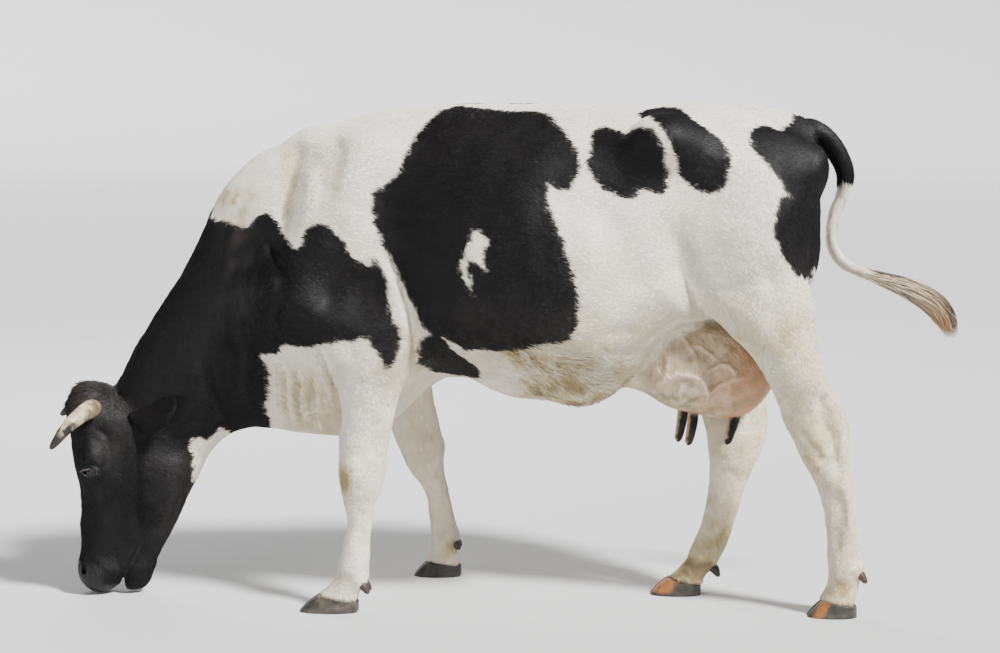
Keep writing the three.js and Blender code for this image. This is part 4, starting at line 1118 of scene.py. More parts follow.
# ---- markings ----
# Outlines of the black patches as (place along, girth from the spine), the left side negative.
PATCHES = {
    "forequarter": [
        (-834, -66), (-722, -311), (-674, -275), (-624, -315), (-589, -438), (-550, -503), (-517, -411),
        (-463, -404), (-417, -468), (-389, -532), (-348, -581), (-328, -548), (-298, -624), (-286, -721),
        (-258, -772), (-262, -840), (-297, -857), (-324, -820), (-356, -787), (-418, -793), (-525, -828),
        (-598, -850), (-616, -910), (-672, -945), (-650, -985), (-661, -1040), (-700, -1140), (-1100, -1150),
        (-1900, -1200), (-1900, 1200), (-1100, 1150), (-690, 1140), (-640, 1040), (-622, 930), (-560, 860),
        (-440, 838), (-350, 850), (-292, 800), (-300, 700), (-352, 600), (-430, 520), (-500, 400),
        (-590, 350), (-660, 240), (-760, 130),
    ],
    "barrel": [
        (-126, -28), (-198, -97), (-238, -161), (-265, -219), (-290, -258), (-340, -296), (-334, -405),
        (-299, -516), (-258, -619), (-220, -710), (-182, -771), (-131, -777), (-77, -816), (-31, -794),
        (56, -785), (157, -756), (216, -742), (238, -698), (238, -626), (216, -553), (187, -454), (158, -376),
        (146, -321), (179, -341), (212, -338), (232, -301), (238, -260), (217, -202), (185, -164),
        (137, -102), (57, -76), (-55, -57),
    ],
    "belly": [
        (-207, -817), (-171, -782), (-132, -792), (-96, -843), (-47, -870), (-40, -930), (-80, -1010),
        (-143, -1040), (-195, -1020), (-214, -922),
    ],
    "loin": [
        (271, -157), (323, -158), (377, -215), (421, -225), (448, -243), (470, -269), (481, -304),
        (465, -343), (400, -328), (389, -353), (351, -356), (307, -335), (266, -299), (254, -264),
        (262, -205),
    ],
    "rump": [
        (397, -94), (441, -53), (508, -99), (560, -165), (615, -203), (647, -230), (647, -291),
        (631, -335), (598, -351), (550, -331), (509, -293), (478, -255), (437, -205),
    ],
    "far_barrel": [
        (-130, -8), (-40, -6), (78, -9), (112, 30), (150, 150), (236, 230), (250, 360), (180, 430),
        (196, 560), (160, 700), (60, 770), (-60, 742), (-150, 640), (-190, 500), (-150, 380),
        (-230, 280), (-220, 150), (-160, 70),
    ],
    "far_loin": [
        (380, 140), (470, 90), (600, 120), (700, 200), (690, 300), (600, 352), (520, 330), (450, 380),
        (370, 330), (350, 230),
    ],
    "far_flank": [(420, 560), (520, 520), (590, 600), (560, 720), (460, 740), (400, 660)],
}
# A white hole in the barrel's patch.
HOLE = [(-46, -461), (-7, -486), (-28, -526), (-17, -572), (-67, -544), (-50, -642), (-89, -571), (-65, -514)]
# Outlines seen straight from the side, as (place along, height), on the left side only.
SIDE_PATCHES = {
    "thigh": [
        (697, 1333), (722, 1356), (762, 1362), (790, 1352), (830, 1384), (860, 1420), (1010, 1400),
        (1010, 960), (891, 966), (885, 936), (861, 943), (815, 978), (776, 1056), (770, 1105),
        (789, 1166), (814, 1172), (791, 1204), (764, 1248), (724, 1290),
    ],
    "rear_spot": [(880, 900), (898, 918), (930, 910), (930, 880), (896, 880)],
}
# White on the throat.
THROAT_PATCH = [
    (-886, 450), (-866, 466), (-846, 454), (-805, 485), (-780, 460), (-840, 390), (-904, 262),
    (-892, 330), (-884, 400),
]
TAIL_BLACK = 0.292  # the share of the tail that is black
OUTLINE_REACH = 70.0  # how far from an outline its distance is worked out


def rounded(outline, steps=3):
    """A closed outline through the points, as a Catmull-Rom curve."""
    p = np.asarray(outline, float)
    before, after, next_one = np.roll(p, 1, 0), np.roll(p, -1, 0), np.roll(p, -2, 0)
    bend, twist = 2 * before - 5 * p + 4 * after - next_one, 3 * p - before - 3 * after + next_one
    share = np.arange(steps) / steps
    parts = [0.5 * (2 * p + (after - before) * t + bend * t * t + twist * t**3) for t in share]
    return np.stack(parts, 1).reshape(-1, 2)


def outline_distance(uv, outline, far=OUTLINE_REACH):
    """Signed distance to a closed outline, negative inside, worked out only near its box."""
    line = rounded(outline)
    d = np.full(len(uv), far)
    near = np.flatnonzero(((uv > line.min(0) - far) & (uv < line.max(0) + far)).all(1))
    q = uv[near]
    best = np.full(len(q), 1e9)
    inside = np.zeros(len(q), bool)
    for a, b in zip(line, np.roll(line, -1, 0)):
        ab = b - a
        t = np.clip((q - a) @ ab / max(ab @ ab, 1e-9), 0, 1)
        best = np.minimum(best, ((q - a - t[:, None] * ab) ** 2).sum(1))
        if a[1] != b[1]:
            crosses = (q[:, 1] > a[1]) != (q[:, 1] > b[1])
            inside ^= crosses & (q[:, 0] < a[0] + (q[:, 1] - a[1]) / (b[1] - a[1]) * ab[0])
    d[near] = np.where(inside, -1, 1) * np.sqrt(best)
    return d


def ripple(p, size, seed):
    """A smooth wandering value between about -1 and 1, from three crossed sine waves."""
    turn = np.random.default_rng(seed).normal(size=(3, 3))
    q = p / size
    bends = [1.7 * np.sin(q @ np.roll(t, 1) * 1.9 + k) for k, t in enumerate(turn)]
    return sum(np.sin(q @ (3.1 * unit(t)) + bend) for t, bend in zip(turn, bends)) / 2.2


def wrapped(p):
    """(place along, girth): the girth is the angle round the trunk's axis times a radius."""
    return np.stack([p[:, 0], WRAP_RADIUS * np.arctan2(p[:, 1], p[:, 2] - WRAP_HEIGHT)], 1)


def black_share(p, fray=0.0, soft=5.0):
    """1 in the black patches and 0 in the white, with an edge that wanders by a few millimetres."""
    shift = 5 * ripple(p, 60, 3) + 2.5 * ripple(p, 17, 4) + fray
    uv = wrapped(p)
    d = np.full(len(p), OUTLINE_REACH)
    for outline in PATCHES.values():
        d = np.minimum(d, outline_distance(uv, outline))
    d = np.maximum(d, -outline_distance(uv, HOLE))
    flat = p[:, [0, 2]]
    for outline in SIDE_PATCHES.values():
        d = np.minimum(d, np.maximum(outline_distance(flat, outline), p[:, 1] + 18))
    throat = np.maximum(outline_distance(flat, THROAT_PATCH), p[:, 1] - 12 - 0.3 * (p[:, 0] + 880))
    d = np.maximum(d, -throat)
    gap, share = line_distance(p, TAIL_PATH)
    d = np.where((p[:, 0] > 840) & (gap < 42), (share - TAIL_BLACK) * 900, d)
    return eased(soft, -soft, d + shift)


# ---- where the coat lies and how long it is ----
def regions(p, d_skin):
    """Shares of head, ear, tail, teat and udder at places on the skin."""
    x, y, z = p.T
    proud = d_skin > 1.5
    share = {
        "head": head_share(p),
        "ear": (proud & (x < -880) & (z > 420)).astype(float),
        "tail": (proud & (x > 780) & (z > 800)).astype(float),
        "teat": (proud & (x > 460) & (x < 740) & (z < 620) & (np.abs(y) < 130)).astype(float),
    }
    near = by_udder(p)
    udder = np.zeros(len(p))
    if len(near):
        q = p[near]
        udder[near] = eased(-4, 10, body_field(q) + coat_depth(q) - udder_field(q) - UDDER_COAT)
    return {**share, "udder": udder}


def bare_share(p, part):
    """1 on the muzzle's pad, the nostrils, lips, lid rims and teats, and most of it on the udder."""
    down, forward, _ = head_place(p)
    pad = eased(512, 556, down + 0.28 * (forward - 110)) * eased(48, 92, forward)
    pad = np.maximum(pad, eased(586, 600, down) * eased(20, 40, forward))
    share = np.maximum(pad * part["head"] * (1 - part["ear"]), part["teat"])
    for y in SIDES:
        gap = line_distance(p, np.array([on_head(a, f, y * c) for a, f, c in LIP]))[0]
        share = np.maximum(share, 0.9 * eased(8, 3, gap) * part["head"])
        along, across, gaze = eye_frame(y)
        rel = p - EYES[y]
        rim = np.hypot(rel @ along, rel @ across * 2.3)
        near = (lengths(rel) < 34) & (rel @ gaze > 0)
        share = np.maximum(share, np.where(near, eased(32, 25, rim), 0))
    front_edge = 424 + 0.8 * np.maximum(p[:, 2] - 664, 0) + 8 * ripple(p, 40, 24)
    return np.maximum(share, part["udder"] * eased(-50, 14, p[:, 0] - front_edge))


def lie_of_coat(p, out, part):
    """Back and down over the trunk, from the head to the shoulder on the neck, down the legs and
    the face, and outwards along ears and tail, laid flat on the skin."""
    ahead_of_shoulder = eased(-20, 160, (p - NECK_PLANE_POINT) @ NECK_AHEAD)
    leg = eased(760, 520, p[:, 2]) * (p[:, 0] > -560)
    haunch = eased(520, 760, p[:, 0]) * eased(1300, 1000, p[:, 2])
    lie = np.tile([1.0, 0, -0.42], (len(p), 1))
    lie += haunch[:, None] * ([0.35, 0, -1.2] - lie)
    lie += ahead_of_shoulder[:, None] * ([1.03, 0, 0.32] - lie)
    lie += leg[:, None] * ([0.1, 0, -1.0] - lie)
    down, forward, sideways = head_place(p)
    back = eased(60, -80, forward)
    face = -UP + FACE * (0.15 - 0.75 * back[:, None]) + FACE_SIDE * (0.2 * np.sign(sideways))[:, None]
    crown = eased(130, 40, down) * eased(20, 60, forward)
    face += crown[:, None] * (FACE * 0.9)
    lie += part["head"][:, None] * (face - lie)
    for y in SIDES:
        root, along, across, _ = ear_frame(y)
        w = (part["ear"] * (p[:, 1] * y > -40 * y)) * (np.sign((p - HEAD_ORIGIN) @ FACE_SIDE) == y)
        spread = ((p - root) @ across / EAR_WIDTH)[:, None] * across
        lie += w[:, None] * (along + 0.5 * spread - lie)
    share = line_distance(p, path_at(TAIL_PATH, np.linspace(0, 1, 60)))[1]
    lie += part["tail"][:, None] * (tail_way(share) - lie)
    sway = 0.22 * ripple(p, 110, 11) + 0.12 * ripple(p, 38, 12) + 0.9 * rough_share(p) * ripple(p, 26, 13)
    lie = unit(lie - out * (lie * out).sum(1)[:, None])
    return unit(lie + np.cross(out, lie) * sway[:, None])


def rough_share(p):
    """1 in the long matted hair low on the belly."""
    along = eased(-30, 110, p[:, 0]) * eased(430, 330, p[:, 0])
    return along * eased(790, 700, p[:, 2] + 0.15 * (p[:, 0] - 240)) * eased(40, 110, np.abs(p[:, 1]))


def coat_sizes(p, part):
    """Length, width and lift of a tuft at each place."""
    leg = eased(720, 330, p[:, 2])
    length = 17 - 6.5 * leg
    width = 2.7 - 0.6 * leg
    lift = 2.2 - 0.7 * leg
    belly = eased(800, 640, p[:, 2]) * eased(-300, -100, p[:, 0]) * eased(460, 400, p[:, 0])
    rough = rough_share(p)
    length += 5 * belly + 26 * rough
    width += 1.8 * rough
    lift += 0.5 * belly + 8 * rough
    length += part["udder"] * (10 - length)
    lift += part["udder"] * (1.5 - lift)
    brisket = eased(-700, -620, p[:, 0]) * eased(-380, -470, p[:, 0]) * eased(720, 600, p[:, 2])
    length += 8 * brisket
    down, forward, _ = head_place(p)
    face = part["head"]
    near_muzzle = eased(330, 540, down)
    near_eye = eased(70, 34, np.minimum(*(lengths(p - EYES[y]) for y in SIDES)))
    length += face * (11.5 - 5 * near_muzzle - 5 * near_eye - length)
    width += face * (2.5 - 1.0 * near_muzzle - 0.9 * near_eye - width)
    lift += face * (2.2 - 1.1 * near_muzzle - 1.0 * near_eye - lift)
    crown = face * eased(150, 60, down) * eased(-10, 50, forward)
    length += 20 * crown
    lift += 5 * crown
    for name, sizes in (("ear", (7, 2.0, 1.2)), ("tail", (24, 2.6, 2.6))):
        for now, own in zip((length, width, lift), sizes):
            now += part[name] * (own - now)
    return length, width, lift


def sampled(points, faces, normals, weight, count, rng):
    """Places spread evenly over triangles by area times weight: one in each equal share."""
    a, b, c = (points[faces[:, k]] for k in range(3))
    area = lengths(np.cross(b - a, c - a)) / 2 * weight[faces].mean(1)
    edges = np.cumsum(area)
    pick = np.searchsorted(edges, (np.arange(count) + rng.random(count)) / count * edges[-1])
    pick = np.minimum(pick, len(faces) - 1)
    r, s = np.sqrt(rng.random(count)), rng.random(count)
    mix = np.stack([1 - r, r * (1 - s), r * s], 1)[..., None]
    corner = faces[pick]
    return (points[corner] * mix).sum(1), unit((normals[corner] * mix).sum(1))


def tuft_arrays(root, out, lie, length, width, lift):
    """Each tuft is a flat closed sliver: two root corners, a raised ridge and a tip."""
    side = np.cross(lie, out)
    half = (width / 2)[:, None] * side
    sunk = root - 0.6 * out
    ridge = root + lie * (0.42 * length)[:, None] + out * (0.62 * lift + 0.5)[:, None]
    tip = root + lie * length[:, None] + out * lift[:, None]
    points = np.stack([sunk - half, sunk + half, ridge, tip], 1)
    normals = np.stack([out - 0.2 * side, out + 0.2 * side, out - 0.08 * lie, out + 0.1 * lie], 1)
    corner = np.array([[0, 1, 2], [1, 3, 2], [3, 0, 2], [0, 3, 1]])
    faces = (np.arange(len(root))[:, None, None] * 4 + corner).reshape(-1, 3)
    return points.reshape(-1, 3), faces, unit(normals).reshape(-1, 3)


PATCH_WIDTH = 0.003  # of a tuft on the unwrap


def tuft_uv(chart):
    """A small patch at each root's place on the chart, which is scaled to fill the square."""
    low, high = chart.min(0), chart.max(0)
    at = 0.01 + 0.98 * (chart - low) / (high - low)
    corner = np.array([[-0.5, 0], [0.5, 0], [0, 0.4], [0, 1]]) * PATCH_WIDTH
    return (at[:, None] + corner - [0, PATCH_WIDTH / 2]).reshape(-1, 2)


def charts(kind, p, part):
    """An unwrap of the skin, in shares of about 700 mm: along and round each part, with separate
    strips for its branches."""
    if kind == "head":
        down, forward, out = head_place(p)
        u, v = down / 700, np.arctan2(out, forward - 20) / (2 * np.pi)
        side = np.where(out > 0, RIGHT, LEFT)
        for y in SIDES:
            root, along, across, outward = ear_frame(y)
            on = (part["ear"] > 0.5) & (side == y)
            front = ((p - root) @ outward) > -12
            u = np.where(on, ((p - root) @ along) / 700 + 0.3 * front, u)
            v = np.where(on, 0.62 + 0.1 * (y + 1) + ((p - root) @ across) / 700, v)
        return np.stack([u, v], 1)
    if kind == "neck":
        rel = p - NECK_ORIGIN
        return np.stack([rel @ NECK_ALONG / 700, np.arctan2(p[:, 1], rel @ NECK_HIGH + 40) / (2 * np.pi)], 1)
    if kind in ("forelegs", "hindlegs"):
        u, v = np.zeros(len(p)), np.zeros(len(p))
        for name, rows in LEGS.items():
            if name[:4] != kind[:4]:
                continue
            side = side_of(name)
            front, back, _, widest, centre = curve([[r[0], *r[1:6]] for r in rows])(p[:, 2])
            on = p[:, 1] * side > 0
            turn = np.arctan2(p[:, 1] - side * centre, p[:, 0] - widest) / (2 * np.pi)
            u = np.where(on, p[:, 2] / 700, u)
            v = np.where(on, turn + 1.1 * (side > 0), v)
        return np.stack([u, v], 1)
    if kind == "tail":
        share = line_distance(p, TAIL_PATH)[1]
        rel = p - path_at(TAIL_PATH, share)
        return np.stack([share, np.arctan2(rel[:, 1], rel[:, 0]) / (2 * np.pi)], 1)
    return np.stack([p[:, 0] / 900, wrapped(p)[:, 1] / 1100], 1)


# name: (kind of unwrap, slot, how many tufts); a tuft belongs to the piece of its root's triangle
COATS = {
    "coat_head": ("head", "coat_black", 47000),
    "coat_neck": ("neck", "coat_black", 47000),
    "coat_forelegs": ("forelegs", "coat_white", 40000),
    "coat_hindlegs": ("hindlegs", "coat_white", 42000),
    "coat_trunk_left_front": ("trunk", "coat_white", 46000),
    "coat_trunk_left_rear": ("trunk", "coat_white", 46000),
    "coat_trunk_right_front": ("trunk", "coat_white", 44000),
    "coat_trunk_right_rear": ("trunk", "coat_white", 44000),
    "coat_tail": ("tail", "coat_black", 9000),
}


def coat_piece_of(p, part):
    """Which coat piece a place belongs to, as its number in COATS."""
    names = list(COATS)
    x, y, z = p.T
    rear = x > 210
    number = names.index("coat_trunk_left_front") + 2 * (y >= 0) + rear
    leg = (z < 600) & (part["udder"] < 0.5) & (np.abs(y) > 30) & (x > -560)
    number = np.where(leg & ~rear & (x < -80) & (z < 560), names.index("coat_forelegs"), number)
    number = np.where(leg & rear & (x > 420), names.index("coat_hindlegs"), number)
    ahead = (p - NECK_PLANE_POINT) @ NECK_AHEAD > 0
    number = np.where(ahead, names.index("coat_neck"), number)
    number = np.where(part["head"] > 0.5, names.index("coat_head"), number)
    number = np.where(part["ear"] > 0.5, names.index("coat_head"), number)
    return np.where(part["tail"] > 0.5, names.index("coat_tail"), number)


def stain_and_painted_light_share(p):
    """Soiling, from faint yellow to mud: knees, feet, the belly's rough hair, behind the hocks and
    at the withers. It also holds painted shade in the shoulder's hollows, on the brisket, low on
    the body, low on the udder and on the far foreleg, and painted light on the cheek, brow and neck."""
    x, y, z = p.T
    coarse, fine = ripple(p, 55, 21), ripple(p, 18, 23)

    def spot(x0, wide, z0, high):
        return np.exp(-(((x - x0) / wide) ** 2) - ((z - z0) / high) ** 2)

    hind = (x > 300).astype(float)
    low = eased(250, 70, z) * (0.2 + 0.24 * hind) + eased(110, 50, z) * (0.16 + 0.2 * hind)
    low *= x > FEET_BEHIND
    mud = 1.3 * spot(575, 66, 74, 40) * (y > 0) * hind
    mud = np.maximum(mud, 0.95 * spot(-160, 26, 96, 34) * (y > 0))
    mud = np.maximum(mud, 0.95 * spot(975, 50, 88, 36) * (y < 0))
    knee = 1.05 * spot(-420, 23, 382, 46) * (y < -150)
    rough = rough_share(p) * (0.72 + 0.34 * coarse + 0.25 * fine)
    # Yellowing low on the belly: partly stain, partly painted shade with a yellow bounce tint.
    belly = 0.48 * eased(830, 660, z) * eased(-20, 140, x) * eased(470, 400, x)
    hock = 0.26 * eased(640, 420, z) * eased(560, 660, x) * (1 + 0.9 * (y > 0) * eased(760, 700, x))
    # Painted shade on the lower part of the udder.
    bag = 0.85 * eased(690, 560, z) * eased(380, 430, x) * eased(720, 560, x) * eased(420, 520, z)
    # Painted shade: the body turns yellower towards the bottom and the rear, as painted bounce light.
    flank = 0.3 * eased(950, 740, z) * eased(-400, -300, x) + 0.11 * eased(1150, 950, z) * eased(100, 250, x)
    # Painted shade: grey-tan darkening along the shoulder's two hollows on the left side.
    fold = bell((x + 590 + 0.12 * (z - 1180)) / 34) + 0.8 * bell((x + 458) / 40)
    shoulder = 0.4 * fold * eased(1060, 1120, z) * eased(1340, 1270, z) * (y < 0)
    withers = spot(-738, 52, 1142, 38) * (y < 0) * (0.8 + 0.7 * coarse + 0.4 * fine)
    # Painted shade: the brisket behind the foreleg is greyed.
    brisket = 0.36 * eased(-660, -590, x) * eased(-420, -470, x) * eased(720, 640, z)
    elbow = 0.42 * spot(-208, 55, 712, 60) * (y < 0)
    hanging = 0.34 * eased(985, 1000, x) * eased(1110, 1040, z) * eased(870, 890, z)
    # Yellow stain on the far hind leg; on the far foreleg it is painted shade.
    far_leg_stain_and_shade = (0.42 * (x > 450) + 0.16 * (x < -100)) * eased(700, 560, z) * (y > 0) * (x > -400)
    down, forward, _ = head_place(p)
    on_face = head_share(p)
    crown = 0.4 * on_face * eased(130, 60, down) * eased(-40, 30, forward)
    # Partly dust, partly painted light: black hair is lightened where the cheek and brow catch the light.
    cheek = 0.4 * on_face * eased(190, 240, down) * eased(500, 400, down) * eased(-30, -75, forward)
    brow = 0.3 * on_face * np.exp(-(((down - 190) / 46) ** 2) - ((forward - 40) / 40) ** 2)
    # Painted sheen: brownish light streaks down the neck.
    neck = bell((x + 742) / 50) * eased(1110, 1060, z) * eased(740, 840, z)
    neck *= (0.34 + 0.3 * coarse) * (1 - on_face)
    parts = [low, mud, knee, rough, belly, hock, bag, flank, shoulder, withers, brisket, elbow]
    parts += [hanging, far_leg_stain_and_shade, neck, crown, cheek, brow]
    return np.clip(np.maximum.reduce(parts) * (1 + 0.3 * coarse + 0.25 * fine), 0, 1)


# ---- materials ----
def group(name, inputs, outputs):
    """A shader node group: inputs is {name: default}, outputs is {name: kind of socket}."""
    tree = bpy.data.node_groups.new(name, "ShaderNodeTree")
    for key, default in inputs.items():
        kind = "NodeSocketColor" if isinstance(default, tuple) else "NodeSocketFloat"
        socket = tree.interface.new_socket(key, in_out="INPUT", socket_type=kind)
        socket.default_value = default
    for key, kind in outputs.items():
        tree.interface.new_socket(key, in_out="OUTPUT", socket_type=kind)
    return tree, tree.nodes.new("NodeGroupInput"), tree.nodes.new("NodeGroupOutput")


def fill(tree, made, inputs):
    """Sets a node's inputs; one that is given a socket is linked to it."""
    for key, value in inputs.items():
        if isinstance(value, bpy.types.NodeSocket):
            tree.links.new(value, made.inputs[key])
        else:
            made.inputs[key].default_value = value
    return made


def node(tree, kind, inputs=None, **settings):
    """A node with its settings and inputs."""
    made = tree.nodes.new(kind)
    for key, value in settings.items():
        setattr(made, key, value)
    return fill(tree, made, inputs or {})


def mixed(tree, share, a, b):
    """The colour a, turned into b by share."""
    return node(tree, "ShaderNodeMix", {0: share, 6: a, 7: b}, data_type="RGBA").outputs[2]


def maths(operation):
    """A function that adds a math node of one kind, for two values or sockets."""

    def added(tree, a, b=0.5, clamp=False):
        return node(tree, "ShaderNodeMath", {0: a, 1: b}, operation=operation, use_clamp=clamp).outputs[0]

    return added


times, plus, minus, least = (maths(kind) for kind in ("MULTIPLY", "ADD", "SUBTRACT", "MINIMUM"))


def ramp(tree, value, low, high, start=0.0, end=1.0):
    """The value's way from low to high, spread over the way from start to end."""
    spread = {"Value": value, "From Min": low, "From Max": high, "To Min": start, "To Max": end}
    return node(tree, "ShaderNodeMapRange", spread).outputs[0]


def speckle(tree, scale, detail=3.0, low=0.35, high=0.65, stretch=None):
    """Noise on Object coordinates, spread to the whole range from 0 to 1."""
    place = node(tree, "ShaderNodeTexCoord").outputs["Object"]
    if stretch:
        place = node(tree, "ShaderNodeMapping", {"Vector": place, "Scale": stretch}).outputs[0]
    noise = node(tree, "ShaderNodeTexNoise", {"Vector": place, "Scale": scale, "Detail": detail})
    return ramp(tree, noise.outputs["Fac"], low, high)


def bump(tree, height, strength, distance):
    inputs = {"Height": height, "Strength": strength, "Distance": distance}
    return node(tree, "ShaderNodeBump", inputs).outputs[0]


WHITE_HAIR = (0.87, 0.83, 0.73, 1)
CREAM_HAIR = (0.79, 0.71, 0.51, 1)
# Straw stains, also used for painted shade on white hair.
STRAW_STAIN_AND_SHADE = (0.55, 0.44, 0.22, 1)
DIRT_HAIR = (0.16, 0.105, 0.055, 1)
BLACK_HAIR = (0.0030, 0.0030, 0.0038, 1)
BROWN_BLACK_HAIR = (0.0095, 0.0070, 0.0062, 1)
# Painted shade: white hair darkens towards each tuft's root, where the tufts shade each other.
PAINTED_ROOT_SHADE = (0.62, 0.54, 0.44, 1)
# Painted sheen: black hair is lightened towards this grey at its tips.
PAINTED_SHEEN_GREY = (0.036, 0.036, 0.040, 1)
# Dust on black hair, also used for painted light on the cheek, brow and neck.
DUST_AND_SHEEN = (0.050, 0.043, 0.038, 1)


def coat_colour_group():
    """White hair with soiling and painted shade towards the tufts' roots, and black hair with dust
    and a painted grey sheen on its tips, mixed by Black. The soil value also carries painted
    shade and painted light.
    """
    tree, ins, outs = group(
        "coat_colour",
        {"Black": 0.0, "Soil_And_Painted_Light": 0.0, "Shade": 0.5, "Tip": 0.5},
        {"Color": "NodeSocketColor", "Roughness": "NodeSocketFloat"},
    )
    is_black, soil_and_painted_light, shade, tip = (ins.outputs[key] for key in ("Black", "Soil_And_Painted_Light", "Shade", "Tip"))
    cloud = speckle(tree, 4.0)
    sheen_noise = speckle(tree, 60.0, 2.0)
    soil_and_painted_light = times(tree, soil_and_painted_light, plus(tree, times(tree, cloud, 0.75), 0.45), True)
    cream = plus(tree, times(tree, shade, 0.2), times(tree, cloud, 0.16))
    white = mixed(tree, cream, WHITE_HAIR, CREAM_HAIR)
    # Straw stains and painted shade, by the soil value.
    white = mixed(tree, times(tree, soil_and_painted_light, 1.5, True), white, STRAW_STAIN_AND_SHADE)
    white = mixed(tree, times(tree, minus(tree, soil_and_painted_light, 0.58), 1.9, True), white, DIRT_HAIR)
    # Painted shade towards each tuft's root.
    white = mixed(tree, times(tree, minus(tree, 1.0, tip), 0.09), white, PAINTED_ROOT_SHADE)
    black = mixed(tree, times(tree, cloud, 0.45), BLACK_HAIR, BROWN_BLACK_HAIR)
    # Painted grey sheen on the tips of black hair, in a fine noise.
    black = mixed(tree, times(tree, times(tree, tip, sheen_noise), 0.07), black, PAINTED_SHEEN_GREY)
    # Dust and painted light lighten black hair by the soil value.
    black = mixed(tree, times(tree, soil_and_painted_light, 0.8, True), black, DUST_AND_SHEEN)
    colour = mixed(tree, is_black, white, black)
    fill(tree, outs, {"Color": colour, "Roughness": ramp(tree, is_black, 0.0, 1.0, 0.72, 0.54)})
    return tree


def relief_group():
    """Heights for bumps: short hair, pores and wrinkles, each with its own strength."""
    tree, ins, outs = group(
        "skin_relief",
        {"Hair": 1.0, "Pores": 0.0, "Wrinkles": 0.0},
        {"Height": "NodeSocketFloat"},
    )
    hair = times(tree, speckle(tree, 240.0, 4.0, stretch=(0.35, 1, 0.7)), ins.outputs["Hair"])
    place = node(tree, "ShaderNodeTexCoord").outputs["Object"]
    cell = node(tree, "ShaderNodeTexVoronoi", {"Vector": place, "Scale": 260.0}, feature="DISTANCE_TO_EDGE")
    pore = times(tree, least(tree, cell.outputs["Distance"], 0.25), 4.0)
    pore = times(tree, pore, ins.outputs["Pores"])
    line = speckle(tree, 150.0, 3.0, stretch=(1, 1, 0.3))
    fold = plus(tree, speckle(tree, 42.0, 5.0), times(tree, line, 0.6))
    fold = times(tree, fold, ins.outputs["Wrinkles"])
    fill(tree, outs, {"Height": plus(tree, plus(tree, hair, pore), fold)})
    return tree


COAT_COLOUR = coat_colour_group()
RELIEF = relief_group()


def material(name):
    made = bpy.data.materials.new(name)
    made.use_nodes = True
    tree = made.node_tree
    return made, tree, tree.nodes["Principled BSDF"]


def attribute(tree, name):
    return node(tree, "ShaderNodeAttribute", attribute_name=name, attribute_type="GEOMETRY").outputs["Fac"]


def coat_look(tree, keys, values=None):
    """The coat's colour and roughness, fed by the values that the mesh carries."""
    fed = {key: attribute(tree, key.lower()) for key in keys}
    return node(tree, "ShaderNodeGroup", {**fed, **(values or {})}, node_tree=COAT_COLOUR).outputs


def coat_material():
    made, tree, shader = material("coat_hair")
    look = coat_look(tree, ("Black", "Soil_And_Painted_Light", "Shade", "Tip"))
    hair = {"Base Color": look["Color"], "Roughness": look["Roughness"], "Specular IOR Level": 0.2}
    fill(tree, shader, hair)
    return made


UDDER_PINK = (0.55, 0.27, 0.15, 1)
UDDER_PALE = (0.66, 0.53, 0.39, 1)
# Painted shade on the bare udder, with some soiling.
UDDER_SHADE_AND_SOIL = (0.27, 0.23, 0.13, 1)
VEIN_PALE = (0.78, 0.58, 0.45, 1)
MUZZLE_BLACK = (0.006, 0.006, 0.007, 1)
MUZZLE_GREY = (0.016, 0.014, 0.015, 1)


def skin_material():
    """The coat's ground colour where hair grows, and pink or dark bare skin elsewhere."""
    made, tree, shader = material("skin")
    # Tip 0.35 gives the skin between the tufts part of the painted root shade.
    look = coat_look(tree, ("Black", "Soil_And_Painted_Light"), {"Shade": 0.5, "Tip": 0.35})
    bare, wet = attribute(tree, "bare"), attribute(tree, "wet")
    patchy = times(tree, minus(tree, 1.35, speckle(tree, 9.0)), attribute(tree, "rosy"), True)
    blotch = speckle(tree, 34.0, 4.0, 0.4, 0.66)
    patchy = plus(tree, patchy, times(tree, blotch, 0.22), True)
    pink = mixed(tree, patchy, UDDER_PALE, UDDER_PINK)
    # The soil value darkens the bare udder: painted shade low down and under the flank, with some soiling.
    udder_shade_and_grime = times(tree, attribute(tree, "soil_and_painted_light"), plus(tree, blotch, 0.4), True)
    pink = mixed(tree, udder_shade_and_grime, pink, UDDER_SHADE_AND_SOIL)
    pink = mixed(tree, times(tree, attribute(tree, "vein"), 0.6), pink, VEIN_PALE)
    dark = mixed(tree, speckle(tree, 30.0), MUZZLE_BLACK, MUZZLE_GREY)
    naked = mixed(tree, attribute(tree, "dark"), pink, dark)
    hair, wrinkles = minus(tree, 1.0, times(tree, bare, 0.6)), times(tree, bare, 2.4)
    heights = {"Hair": hair, "Pores": times(tree, wet, 0.8), "Wrinkles": wrinkles}
    relief = node(tree, "ShaderNodeGroup", heights, node_tree=RELIEF)
    look = {
        "Base Color": mixed(tree, bare, look["Color"], naked),
        "Roughness": ramp(tree, wet, 0.0, 1.0, 0.6, 0.44),
        "Normal": bump(tree, relief.outputs[0], 0.55, 0.0018),
        "Specular IOR Level": 0.22,
        "Subsurface Weight": 0.04,
        "Subsurface Scale": 0.01,
    }
    fill(tree, shader, look)
    return made


def plain_material(name, colour, roughness):
    made, tree, shader = material(name)
    fill(tree, shader, {"Base Color": colour, "Roughness": roughness})
    return made


VEIN_HEIGHT = 14.0  # of the udder's thickest vein


def vein_share(p):
    """1 on the crests of the udder's veins."""
    share = np.zeros(len(p))
    ends = limits(p)
    for carve, low, high in UDDER_LINES[: 2 * len(UDDER_VEINS)]:
        at = inside_box(p, ends, low, high)
        if len(at):
            share[at] = np.maximum(share[at], -carve(p[at]) / VEIN_HEIGHT)
    return share


